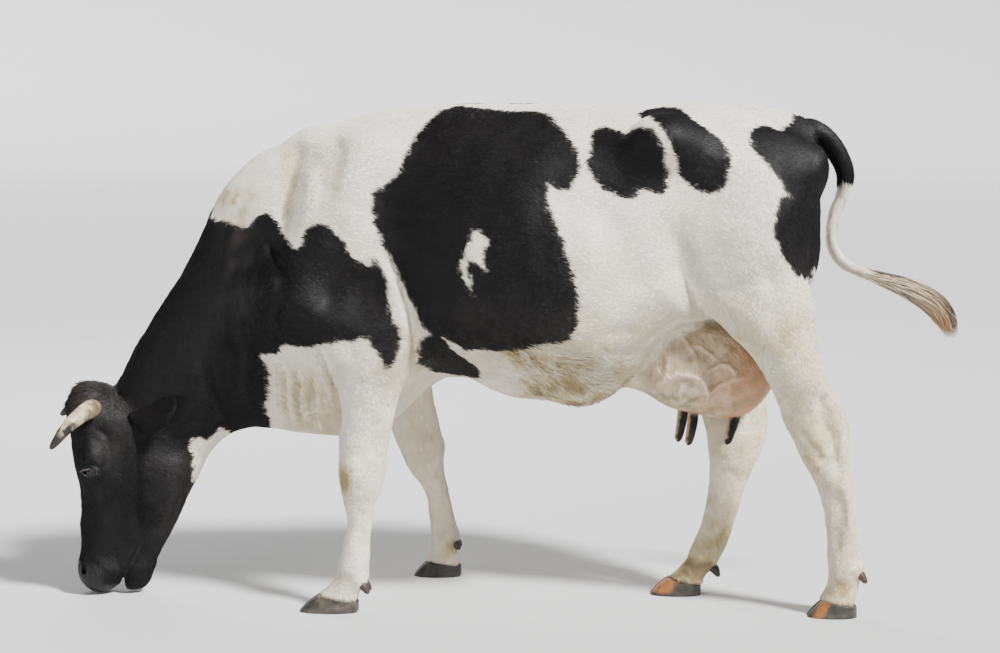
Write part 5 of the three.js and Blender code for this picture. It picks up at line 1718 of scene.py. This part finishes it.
def teat_pale_share(p):
    """1 on the pale stripe down the front of each teat and round its root."""
    share = np.zeros(len(p))
    for base, tip in TEATS.values():
        base = np.array(base, float)
        axis = tip - base
        t = np.clip((p - base) @ axis / (axis @ axis), 0, 1)
        rel = p - base - t[:, None] * axis
        near = (lengths(rel) < 26) & (t > 0.02)
        stripe = eased(-2, -8, rel[:, 0] + 3 * ripple(p, 14, 31)) + eased(0.25, 0.06, t)
        share = np.where(near, np.clip(stripe, 0, 1), share)
    return share


def rosy_share(p):
    """How pink the udder is: more of it at the rear and low down, in patches."""
    rear = eased(560, 700, p[:, 0] - 0.5 * (p[:, 2] - 680)) * 0.8
    low = eased(600, 560, p[:, 2]) * 0.5
    return np.clip(rear + low + 0.2 * ripple(p, 70, 33), 0, 1)


# ---- build: skin ----
rng = np.random.default_rng(20)
skin = skin_mesh()
skin_points = coordinates(skin)
skin_faces = triangles_of(skin)
skin_normals = vertex_normals(skin_points, skin_faces)
skin_part = regions(skin_points, skin_field(skin_points))
skin_bare = bare_share(skin_points, skin_part)
on_teat = skin_part["teat"] > 0.5
dark_parts = np.maximum(skin_part["head"], skin_part["teat"])
on_muzzle = skin_part["head"] * eased(500, 540, head_place(skin_points)[0])
values = {
    "rosy": rosy_share(skin_points),
    "black": black_share(skin_points, soft=7.0),
    # The soil value holds stains, and painted shade and painted light among them.
    "soil_and_painted_light": stain_and_painted_light_share(skin_points),
    "bare": skin_bare,
    "dark": np.where(on_teat, 1 - 0.95 * teat_pale_share(skin_points), dark_parts),
    "wet": on_muzzle * skin_bare,
    "vein": vein_share(skin_points),
}
store(skin, values)
skin.polygons.foreach_set("use_smooth", np.full(len(skin.polygons), True))
FLESH = ["trunk", "neck", "head", "udder", "tail_base", "tail_middle", *TEATS]
FLESH += [f"ear_{s}" for s in SIDE_NAME.values()]
FLESH += [f"{kind}_{s}" for kind in ("foreleg", "hindleg") for s in SIDE_NAME.values()]
skin.materials.clear()
piece("skin", skin, skin_material(), "coat_white", *FLESH)

# ---- build: coat ----
hair = coat_material()
sparse = 0.3 + 0.55 * skin_part["head"]
density = eased(sparse, 0.05, skin_bare) * (1 + 1.6 * rough_share(skin_points))
density = np.where(on_teat, 0, density)
length, width, _ = coat_sizes(skin_points, skin_part)
density = density / (length * width)
face_part = {key: share[skin_faces].mean(1) for key, share in skin_part.items()}
belongs = coat_piece_of(skin_points[skin_faces].mean(1), face_part)
for index, (name, (kind, slot, count)) in enumerate(COATS.items()):
    own = skin_faces[belongs == index]
    root, out = sampled(skin_points, own, skin_normals, density, count, rng)
    part = regions(root, skin_field(root) if kind in ("head", "tail") else np.zeros(count))
    lie = lie_of_coat(root, out, part)
    lie = unit(lie + np.cross(out, lie) * rng.normal(0, 0.16, count)[:, None])
    long, wide, lift = coat_sizes(root, part)
    long = long * rng.uniform(0.7, 1.25, count)
    lift = lift * rng.uniform(0.55, 1.15, count)
    points, faces, normals = tuft_arrays(root, out, lie, long, wide * rng.uniform(0.8, 1.2, count), lift)
    shade = np.clip(rng.normal(0.5, 0.22, count), 0, 1)
    middle = root + lie * (0.45 * long)[:, None]
    values = {
        "black": np.repeat(black_share(middle, rng.normal(0, 1.6, count), 1.5), 4),
        "soil_and_painted_light": np.repeat(stain_and_painted_light_share(root), 4),
        "shade": np.repeat(shade, 4),
        "tip": np.tile([0.0, 0.0, 0.6, 1.0], count),
    }
    mesh = mesh_from(name, points, faces, values, tuft_uv(charts(kind, root, part)), normals)
    piece(name, mesh, hair, slot)


# ---- locks: long hair made strand by strand ----
def lock_arrays(path, width, flat_side):
    """Locks with a three-cornered section that tapers to a point: path is (lock, step, 3), width
    is (lock, step) and flat_side is the way a lock is broadest."""
    count, steps, _ = path.shape
    tangent = unit(np.gradient(path, axis=1))
    side = unit(flat_side - tangent * (flat_side * tangent).sum(-1, keepdims=True))
    rise = np.cross(tangent, side)
    corner = [side, -0.5 * side + 0.6 * rise, -0.5 * side - 0.6 * rise]
    ring = np.stack([path + c * (width / 2)[..., None] for c in corner], 2)
    points = ring[:, :-1].reshape(count, -1, 3)
    points = np.concatenate([points, path[:, -1:]], 1)
    faces = []
    for step in range(steps - 2):
        for k in range(3):
            a, b = step * 3 + k, step * 3 + (k + 1) % 3
            faces += [(a, b, b + 3), (a, b + 3, a + 3)]
    tip, last = (steps - 1) * 3, (steps - 2) * 3
    faces += [(last + k, last + (k + 1) % 3, tip) for k in range(3)]
    faces += [(0, 2, 1)]
    faces = np.arange(count)[:, None, None] * points.shape[1] + np.array(faces)
    share = np.append(np.repeat(np.arange(steps - 1), 3), steps - 1) / (steps - 1)
    return points.reshape(-1, 3), faces.reshape(-1, 3), np.tile(share, count)


def lock_uv(root_uv, share):
    """Each lock is a small patch at its root's place, with its length across the patch."""
    per_lock = len(share) // len(root_uv)
    at = np.repeat(root_uv, per_lock, 0)
    wiggle = np.tile([-0.5, 0.5, 0.0], len(share) // 3 + 1)[: len(share)]
    return at + np.stack([wiggle, share], 1) * PATCH_WIDTH


def switch_locks(count, steps=9):
    """Long hair round the last third of the tail: each lock keeps its own share of the switch's
    radius and drifts a little round it."""
    start = rng.uniform(0.55, 0.82, count)
    end = np.minimum(start + rng.uniform(0.18, 0.42, count), rng.uniform(0.93, 1.0, count))
    u = np.linspace(0, 1, steps)
    share = start[:, None] + (end - start)[:, None] * u
    centre = path_at(TAIL_PATH, share)
    tangent = tail_way(share)
    side = unit(np.cross(tangent, [0.0, 1, 0]))
    other = np.cross(tangent, side)
    radius = curve([[0.5, 11], [0.6, 14], [0.7, 22], [0.82, 33], [0.92, 34], [1, 17]])(share)[0]
    own = np.sqrt(rng.uniform(0.02, 1, count))[:, None] * (0.35 + 0.65 * eased(0, 0.5, u))
    turn = rng.uniform(0, 2 * np.pi, count)[:, None] + rng.normal(0, 0.35, count)[:, None] * u
    turn = turn + 0.25 * np.sin(6 * share * np.pi + rng.uniform(0, 6, count)[:, None])
    reach = np.maximum(radius * own, 9 * (1 - u))
    path = centre + side * (reach * np.cos(turn))[..., None] + other * (reach * np.sin(turn))[..., None]
    # The hair's end sweeps down and hangs together.
    path[..., 2] -= 10 * u**2 * eased(0.8, 1.0, share)
    width = rng.uniform(2.4, 4.6, count)[:, None] * (1 - 0.75 * u**1.5)
    return path, width, np.cross(path - centre, tangent)


def switch_piece():
    """The locks and, inside them, a plain core that the tail's bone ends in."""
    path, width, flat = switch_locks(1150)
    points, faces, share = lock_arrays(path, width, flat)
    per_lock = len(share) // len(path)
    core_points, core_faces = swept(TAIL_PATH[TAIL_BONE_END:-3], lambda t: 13 - 6 * t, 24, 12)
    count = len(core_points)
    points = np.concatenate([core_points, points])
    shade = np.repeat(rng.random(len(path)), per_lock)
    nearest = line_distance(path.reshape(-1, 3), TAIL_PATH)[1]
    drift = path - path_at(TAIL_PATH, nearest).reshape(path.shape)
    high = np.repeat(eased(-6, 16, drift[:, -3, 2]), per_lock)
    at = np.stack([line_distance(path[:, 0], TAIL_PATH)[1] - 0.4, shade[::per_lock]], 1)
    uv = np.concatenate([np.tile([[0.3, 0.5]], (count, 1)), lock_uv(0.02 + 0.9 * at, share)])
    values = {
        "shade": np.concatenate([np.full(count, 0.4), shade]),
        "high": np.concatenate([np.full(count, 0.4), high]),
        "place": line_distance(points, TAIL_PATH)[1],
    }
    faces = np.concatenate([core_faces, faces + count])
    return mesh_from("tail_switch_hair", points, faces, values, uv)


def eye_lashes(y, steps=6):
    """Curved lashes along the upper rim of the slit, and shorter ones along the lower rim."""
    along, across, out = eye_frame(y)
    paths, widths = [], []
    for count, rise, length, sign in ((52, LID_RISE + 1.5, 19, 1), (22, LID_DROP, 8, -1)):
        a = np.linspace(-0.86, 0.9, count) * LID_HALF_WIDTH + rng.normal(0, 0.5, count)
        b = sign * rise * (1 - (a / LID_HALF_WIDTH) ** 2) + 1
        radius = EYE_RADIUS + LID_THICK - 1.0
        c = np.sqrt(np.maximum(radius**2 - a**2 - b**2, 9))
        root = EYES[y] + along * a[:, None] + across * b[:, None] + out * c[:, None]
        way = unit(out * 0.85 + across * (0.1 * sign) + along * (0.02 * a[:, None]))
        long = length * rng.uniform(0.75, 1.15, count)
        u = np.linspace(0, 1, steps)
        bend = -across * 0.5 if sign > 0 else across * 0.1
        path = root[:, None] + way[:, None] * (long[:, None] * u)[..., None]
        path = path + bend * (long[:, None] * 0.8 * u**2)[..., None]
        paths.append(path + rng.normal(0, 0.5, (count, 1, 3)) * u[None, :, None] * 3)
        widths.append(np.full((count, steps), 0.9) * (1 - 0.7 * u))
    path, width = np.concatenate(paths), np.concatenate(widths)
    points, faces, _ = lock_arrays(path, width, np.broadcast_to(along, path.shape))
    return mesh_from("lashes_" + SIDE_NAME[y], points, faces)


# ---- eyes, horns and claws ----
def eyeball(y, around=72, rings=56):
    """A ball whose poles lie on the line of sight, with masks for the pupil, the iris and the
    rim: the pupil is a wide oval, as in all cattle."""
    along, across, out = eye_frame(y)
    turn = turns(around)[None]
    rise = (np.linspace(0.02, 1, rings) ** 1.4 * (np.pi - 0.02))[:, None]
    a, b, c = np.sin(rise) * np.cos(turn), np.sin(rise) * np.sin(turn), np.cos(rise) + 0 * turn
    cornea = 1 + 0.05 * eased(0.62, 0.2, np.hypot(a, b)) * (c > 0)
    ring = along * a[..., None] + across * b[..., None] + out * (c * cornea)[..., None]
    points, faces = closed_tube(EYES[y] + ring * EYE_RADIUS)
    rel = (points - EYES[y]) / EYE_RADIUS
    a, b, front = rel @ along, rel @ across, rel @ out > 0
    values = {
        "pupil": eased(1.1, 0.9, np.hypot(a / 0.40, b / 0.24)) * front,
        "iris": eased(0.86, 0.78, np.hypot(a, b)) * front,
        "corner": eased(0.55, 0.85, -a) * front,
        "ray": np.arctan2(b, a),
    }
    return mesh_from("eyeball_" + SIDE_NAME[y], points, faces, values)


HORN_ENDS = {
    LEFT: [on_head(118, 160, -192), on_head(175, 205, -204)],
    RIGHT: [on_head(102, 166, 190), on_head(134, 212, 204)],
}


def horn(y, steps=90, around=40):
    """The horn's own radius 27 (1 - t)^0.42 + 1.5 with rings that fade out towards the tip."""
    path = [on_head(80, 92, y * 60), on_head(77, 103, y * 112), on_head(90, 128, y * 160)]
    path += HORN_ENDS[y]
    share = 1 - (1 - np.linspace(0, 1, steps)) ** 1.6

    def radius(t):
        rings = 0.55 * np.sin(t * 95) * eased(0.6, 0.2, t) + 0.3 * np.sin(t * 41 + 1)
        return 27 * np.maximum(1 - t, 0) ** 0.42 + 1.5 + rings * eased(1.0, 0.8, t)

    points, faces = swept(path, radius, steps, around, share)
    along = np.append(np.repeat(share, around), [0, 1])
    return mesh_from("horn_shell_" + SIDE_NAME[y], points, faces, {"along": along})


def claw(foot, which, levels=26, around=56):
    """D-shaped outlines from the flat sole up to the sloping coronet, with growth rings that run
    round the wall and a slightly worn toe."""
    toe, heel, out = FEET[foot]
    level = np.linspace(0, 1, levels)[:, None]
    turn = turns(around)[None]
    shrink = np.where(level < 0.14, 0.97 + 0.03 * level / 0.14, 1) - 0.06 * level
    front = toe + (heel - toe) * CORONET_INSET * level**1.15
    along = (1 - np.cos(turn)) / 2
    outer = turn < np.pi  # half of the ring: the other half faces the claw beside it
    bulge = np.abs(np.sin(turn)) ** np.where(outer, 0.72, 0.5)
    wide = np.where(outer, CLAW_WIDTH * 0.86, CLAW_WIDTH * 0.1)
    x = front + (heel - front) * along
    share = (x - toe) / (heel - toe)
    ring = 0.5 * np.sin(level * 44 + 1.2 * share * 3) * eased(0.04, 0.2, level) * eased(1.0, 0.9, level)
    y = CLAW_GAP / 2 + CLAW_WIDTH * 0.1 + np.where(outer, 1, -1) * (wide * bulge * shrink + ring * outer)
    z = level * (CORONET_FRONT + (CORONET_BACK - CORONET_FRONT) * share - 0.3)
    return closed_tube(np.stack([x - ring * (along < 0.5), side_of(foot) * out + which * y, z], -1))


def dewclaw(foot, which):
    x, z, out = DEWCLAWS[foot]
    middle = side_of(foot) * out
    a = np.array([x - 10.0, middle + which * 21, z + 3])
    b = np.array([x + 19.0, middle + which * 24, z - 31])

    def radius(t):
        return (12.5 - 6.0 * t * t) * (1 - t**10) ** 0.5 + 0.3

    return swept([a, (a + b) / 2 + [1.5, 0, 1.5], b], radius, 20, 24)


IRIS_DARK, IRIS_BROWN = (0.004, 0.002, 0.0015, 1), (0.012, 0.005, 0.003, 1)
EYE_RIM, EYE_CORNER = (0.010, 0.007, 0.006, 1), (0.035, 0.013, 0.010, 1)
PUPIL_BLUE = (0.004, 0.005, 0.009, 1)
HORN_CREAM, HORN_CLOUD = (0.50, 0.40, 0.23, 1), (0.075, 0.062, 0.048, 1)
HORN_STREAK, HORN_ROOT, HORN_TIP = (0.66, 0.57, 0.40, 1), (0.17, 0.10, 0.055, 1), (0.010, 0.008, 0.007, 1)
HOOF_BLACK, HOOF_STREAK = (0.006, 0.006, 0.006, 1), (0.022, 0.020, 0.018, 1)
HOOF_GREY, HOOF_CLOUD = (0.115, 0.092, 0.068, 1), (0.030, 0.026, 0.022, 1)
HOOF_TAN, HOOF_TAN_STREAK = (0.42, 0.14, 0.028, 1), (0.19, 0.08, 0.028, 1)
SWITCH_CREAM, SWITCH_STRAW = (0.70, 0.60, 0.44, 1), (0.40, 0.29, 0.16, 1)
SWITCH_BROWN = (0.09, 0.07, 0.055, 1)
SWITCH_TAN, SWITCH_GREY = (0.42, 0.23, 0.09, 1), (0.055, 0.055, 0.052, 1)


def eye_material():
    """A near-black ball with a brown iris of fine rays and a bluish pupil, under a wet coat."""
    made, tree, shader = material("eye_wet")
    ray = maths("SINE")(tree, times(tree, attribute(tree, "ray"), 31.0))
    brown = mixed(tree, maths("MULTIPLY_ADD")(tree, ray, 0.3), IRIS_DARK, IRIS_BROWN)
    white = mixed(tree, attribute(tree, "corner"), EYE_RIM, EYE_CORNER)
    colour = mixed(tree, attribute(tree, "iris"), white, brown)
    look = {
        "Base Color": mixed(tree, attribute(tree, "pupil"), colour, PUPIL_BLUE),
        "Roughness": 0.1,
        "Specular IOR Level": 0.25,
        "Coat Weight": 0.22,
        "Coat Roughness": 0.02,
    }
    fill(tree, shader, look)
    return made


def horn_material():
    """Cream horn with grey clouds and long streaks, and a dark tip."""
    made, tree, shader = material("horn_shell")
    along = attribute(tree, "along")
    cloud = speckle(tree, 38.0, 5.0, 0.40, 0.56)
    streak = speckle(tree, 110.0, 3.0, 0.4, 0.65, stretch=(0.35, 1, 0.35))
    colour = mixed(tree, times(tree, cloud, 0.9), HORN_CREAM, HORN_CLOUD)
    colour = mixed(tree, times(tree, streak, 0.3), colour, HORN_STREAK)
    colour = mixed(tree, times(tree, ramp(tree, along, 0.36, 0.2), 0.7), colour, HORN_ROOT)
    tip = ramp(tree, plus(tree, along, times(tree, cloud, 0.16)), 0.70, 0.84)
    colour = mixed(tree, tip, colour, HORN_TIP)
    fill(tree, shader, {"Base Color": colour, "Normal": bump(tree, streak, 0.3, 0.001), "Roughness": 0.42})
    return made


def hoof_material():
    """Dark horn with fine rings and streaks that run down the wall; Tan lightens it."""
    made, tree, shader = material("hoof_wall")
    streak = speckle(tree, 70.0, 3.0, 0.35, 0.65, stretch=(1, 1, 0.12))
    ring = speckle(tree, 120.0, 2.0, 0.35, 0.65, stretch=(0.15, 0.15, 1))
    cloud = speckle(tree, 28.0, 4.0, 0.38, 0.62)
    dark = mixed(tree, streak, HOOF_BLACK, HOOF_STREAK)
    dark = mixed(tree, attribute(tree, "pale"), dark, mixed(tree, cloud, HOOF_GREY, HOOF_CLOUD))
    tan = mixed(tree, streak, HOOF_TAN, HOOF_TAN_STREAK)
    colour = mixed(tree, attribute(tree, "tan"), dark, tan)
    colour = mixed(tree, times(tree, ring, 0.16), colour, HORN_CLOUD)
    fill(tree, shader, {"Base Color": colour, "Normal": bump(tree, ring, 0.35, 0.0012), "Roughness": 0.5})
    return made


def switch_material():
    """Cream and grey-brown locks: each has its own shade, and towards the switch's end they turn
    tan below and grey above."""
    made, tree, shader = material("switch_hair")
    shade = attribute(tree, "shade")
    late = ramp(tree, attribute(tree, "place"), 0.80, 0.93)
    colour = mixed(tree, shade, SWITCH_CREAM, SWITCH_STRAW)
    colour = mixed(tree, ramp(tree, shade, 0.78, 0.84), colour, SWITCH_BROWN)
    colour = mixed(tree, times(tree, late, 0.7), colour, SWITCH_TAN)
    grey = times(tree, times(tree, late, attribute(tree, "high")), 0.85)
    fill(tree, shader, {"Base Color": mixed(tree, grey, colour, SWITCH_GREY), "Roughness": 0.6})
    return made


wet_eye, horn_look, hoof_look = eye_material(), horn_material(), hoof_material()
lash_look = plain_material("lash_hair", (0.13, 0.12, 0.115, 1), 0.5)
for y in SIDES:
    side_name = SIDE_NAME[y]
    piece(f"eyeball_{side_name}", eyeball(y), wet_eye, "eye", f"eye_{side_name}")
    piece(f"lashes_{side_name}", eye_lashes(y), lash_look, "coat_black")
    piece(f"horn_shell_{side_name}", horn(y), horn_look, "horn", f"horn_{side_name}")

# How grey each foot's horn is; the rest is near black. Two feet have a tan stripe at the toe.
HOOF_PALE = {"fore_left": 0.75, "fore_right": 0.0, "hind_left": 0.42, "hind_right": 0.25}
DEWCLAW_TAN = {"fore_left": 0.06, "fore_right": 0.0, "hind_left": 0.13, "hind_right": 0.03}
for foot, pale in HOOF_PALE.items():
    toe, heel, _ = FEET[foot]
    for which in SIDES:
        place = "outer" if which == side_of(foot) else "inner"
        for kind, (points, faces) in (("claw", claw(foot, which)), ("dewclaw", dewclaw(foot, which))):
            leans = (points[:, 0] - toe) / (heel - toe) - 0.004 * points[:, 2]
            stripe = np.zeros(len(points))
            if foot == "hind_left":
                stripe = eased(0.05, 0.12, leans) * eased(0.32, 0.26, leans)
            if foot == "hind_right":
                stripe = eased(0.42, 0.26, leans) * eased(4, 14, points[:, 2])
            grey = pale * (0.75 + 0.5 * ripple(points, 17, 51))
            if kind == "dewclaw":
                stripe = np.full(len(points), DEWCLAW_TAN[foot])
                grey = np.full(len(points), 0.2 * pale)
            name = f"{kind}_{foot}_{place}"
            mesh = mesh_from("wall_" + name, points, faces, {"tan": 0.9 * stripe, "pale": grey})
            piece("wall_" + name, mesh, hoof_look, "hoof", name)

piece("tail_switch_hair", switch_piece(), switch_material(), "tail_hair", "tail_switch")

# ---- stage ----
FLOOR_FLAT, FLOOR_CURVE, WALL_TOP = 30e3, 5e3, 8e3  # the flat part's radius, the bend's, the wall's height


def floor_surface(around=128):
    """A round floor that is flat out to 30 m and then curves up, as a quarter circle, into a wall."""
    bend = np.linspace(0, np.pi / 2, 24)
    edge = FLOOR_FLAT + FLOOR_CURVE * np.sin(bend)
    radius = np.concatenate([[2e3, 6e3, 11e3], edge, [FLOOR_FLAT + FLOOR_CURVE]])
    height = np.concatenate([[0, 0, 0], FLOOR_CURVE * (1 - np.cos(bend)), [WALL_TOP]])
    turn = turns(around)
    ring = np.stack([np.outer(radius, np.cos(turn)), np.outer(radius, np.sin(turn))], -1)
    points = np.concatenate([ring, np.broadcast_to(height[:, None, None], (len(height), around, 1))], -1)
    points = np.concatenate([points.reshape(-1, 3), [[0, 0, 0]]])
    r, k = np.meshgrid(np.arange(len(radius) - 1), np.arange(around), indexing="ij")
    a, b = r * around + k, r * around + (k + 1) % around
    faces = np.stack([a, a + around, b + around, a, b + around, b], -1).reshape(-1, 3)
    inner = np.arange(around)
    middle = np.stack([np.full(around, len(points) - 1), inner, (inner + 1) % around], 1)
    return points, np.concatenate([faces, middle])


floor_mesh = mesh_from("floor", *floor_surface())
floor_mesh.materials.append(plain_material("floor_pale", (0.64, 0.64, 0.64, 1), 0.9))
placed("floor", floor_mesh)


def area_light(name, place, target, size, power):
    data = bpy.data.lights.new(name, "AREA")
    data.size, data.energy = size, power
    lamp = placed(name, data)
    back = unit(np.array(place, float) - target)
    side = unit(np.cross(UP, back))
    up = np.cross(back, side)
    lamp.matrix_world = Matrix([[side[k], up[k], back[k], place[k]] for k in range(3)] + [[0, 0, 0, 1]])


sun = bpy.data.lights.new("key_sun", "SUN")
sun.energy, sun.angle = 9.0, math.radians(10)
key = placed("key_sun", sun)
key.rotation_euler = (math.radians(45.5), 0, math.radians(51))
area_light("fill_light", (-4.6, -5.4, 2.8), (0, 0, 0.8), 4.0, 110)
area_light("back_light", (-2.0, 5.0, 5.0), (0, 0, 0.9), 3.0, 260)
world = bpy.data.worlds.new("studio")
bpy.context.scene.world = world
world.use_nodes = True
fill(world.node_tree, world.node_tree.nodes["Background"], {0: (0.96, 0.98, 1.0, 1), 1: 0.22})

# The camera looks at the cow's left side from a little behind her middle: metres and degrees.
CAMERA_DISTANCE, CAMERA_HEIGHT, CAMERA_YAW, CAMERA_PITCH = 7.0, 1.5, 4.0, 5.84
camera_data = bpy.data.cameras.new("camera")
camera_data.lens, camera_data.sensor_width, camera_data.clip_end = 88.2, 36, 100
camera = placed("camera", camera_data)
yaw, pitch = math.radians(CAMERA_YAW), math.radians(CAMERA_PITCH)
camera.location = (CAMERA_DISTANCE * math.sin(yaw), -CAMERA_DISTANCE * math.cos(yaw), CAMERA_HEIGHT)
camera.rotation_euler = (math.pi / 2 - pitch, 0, yaw)
bpy.context.scene.camera = camera
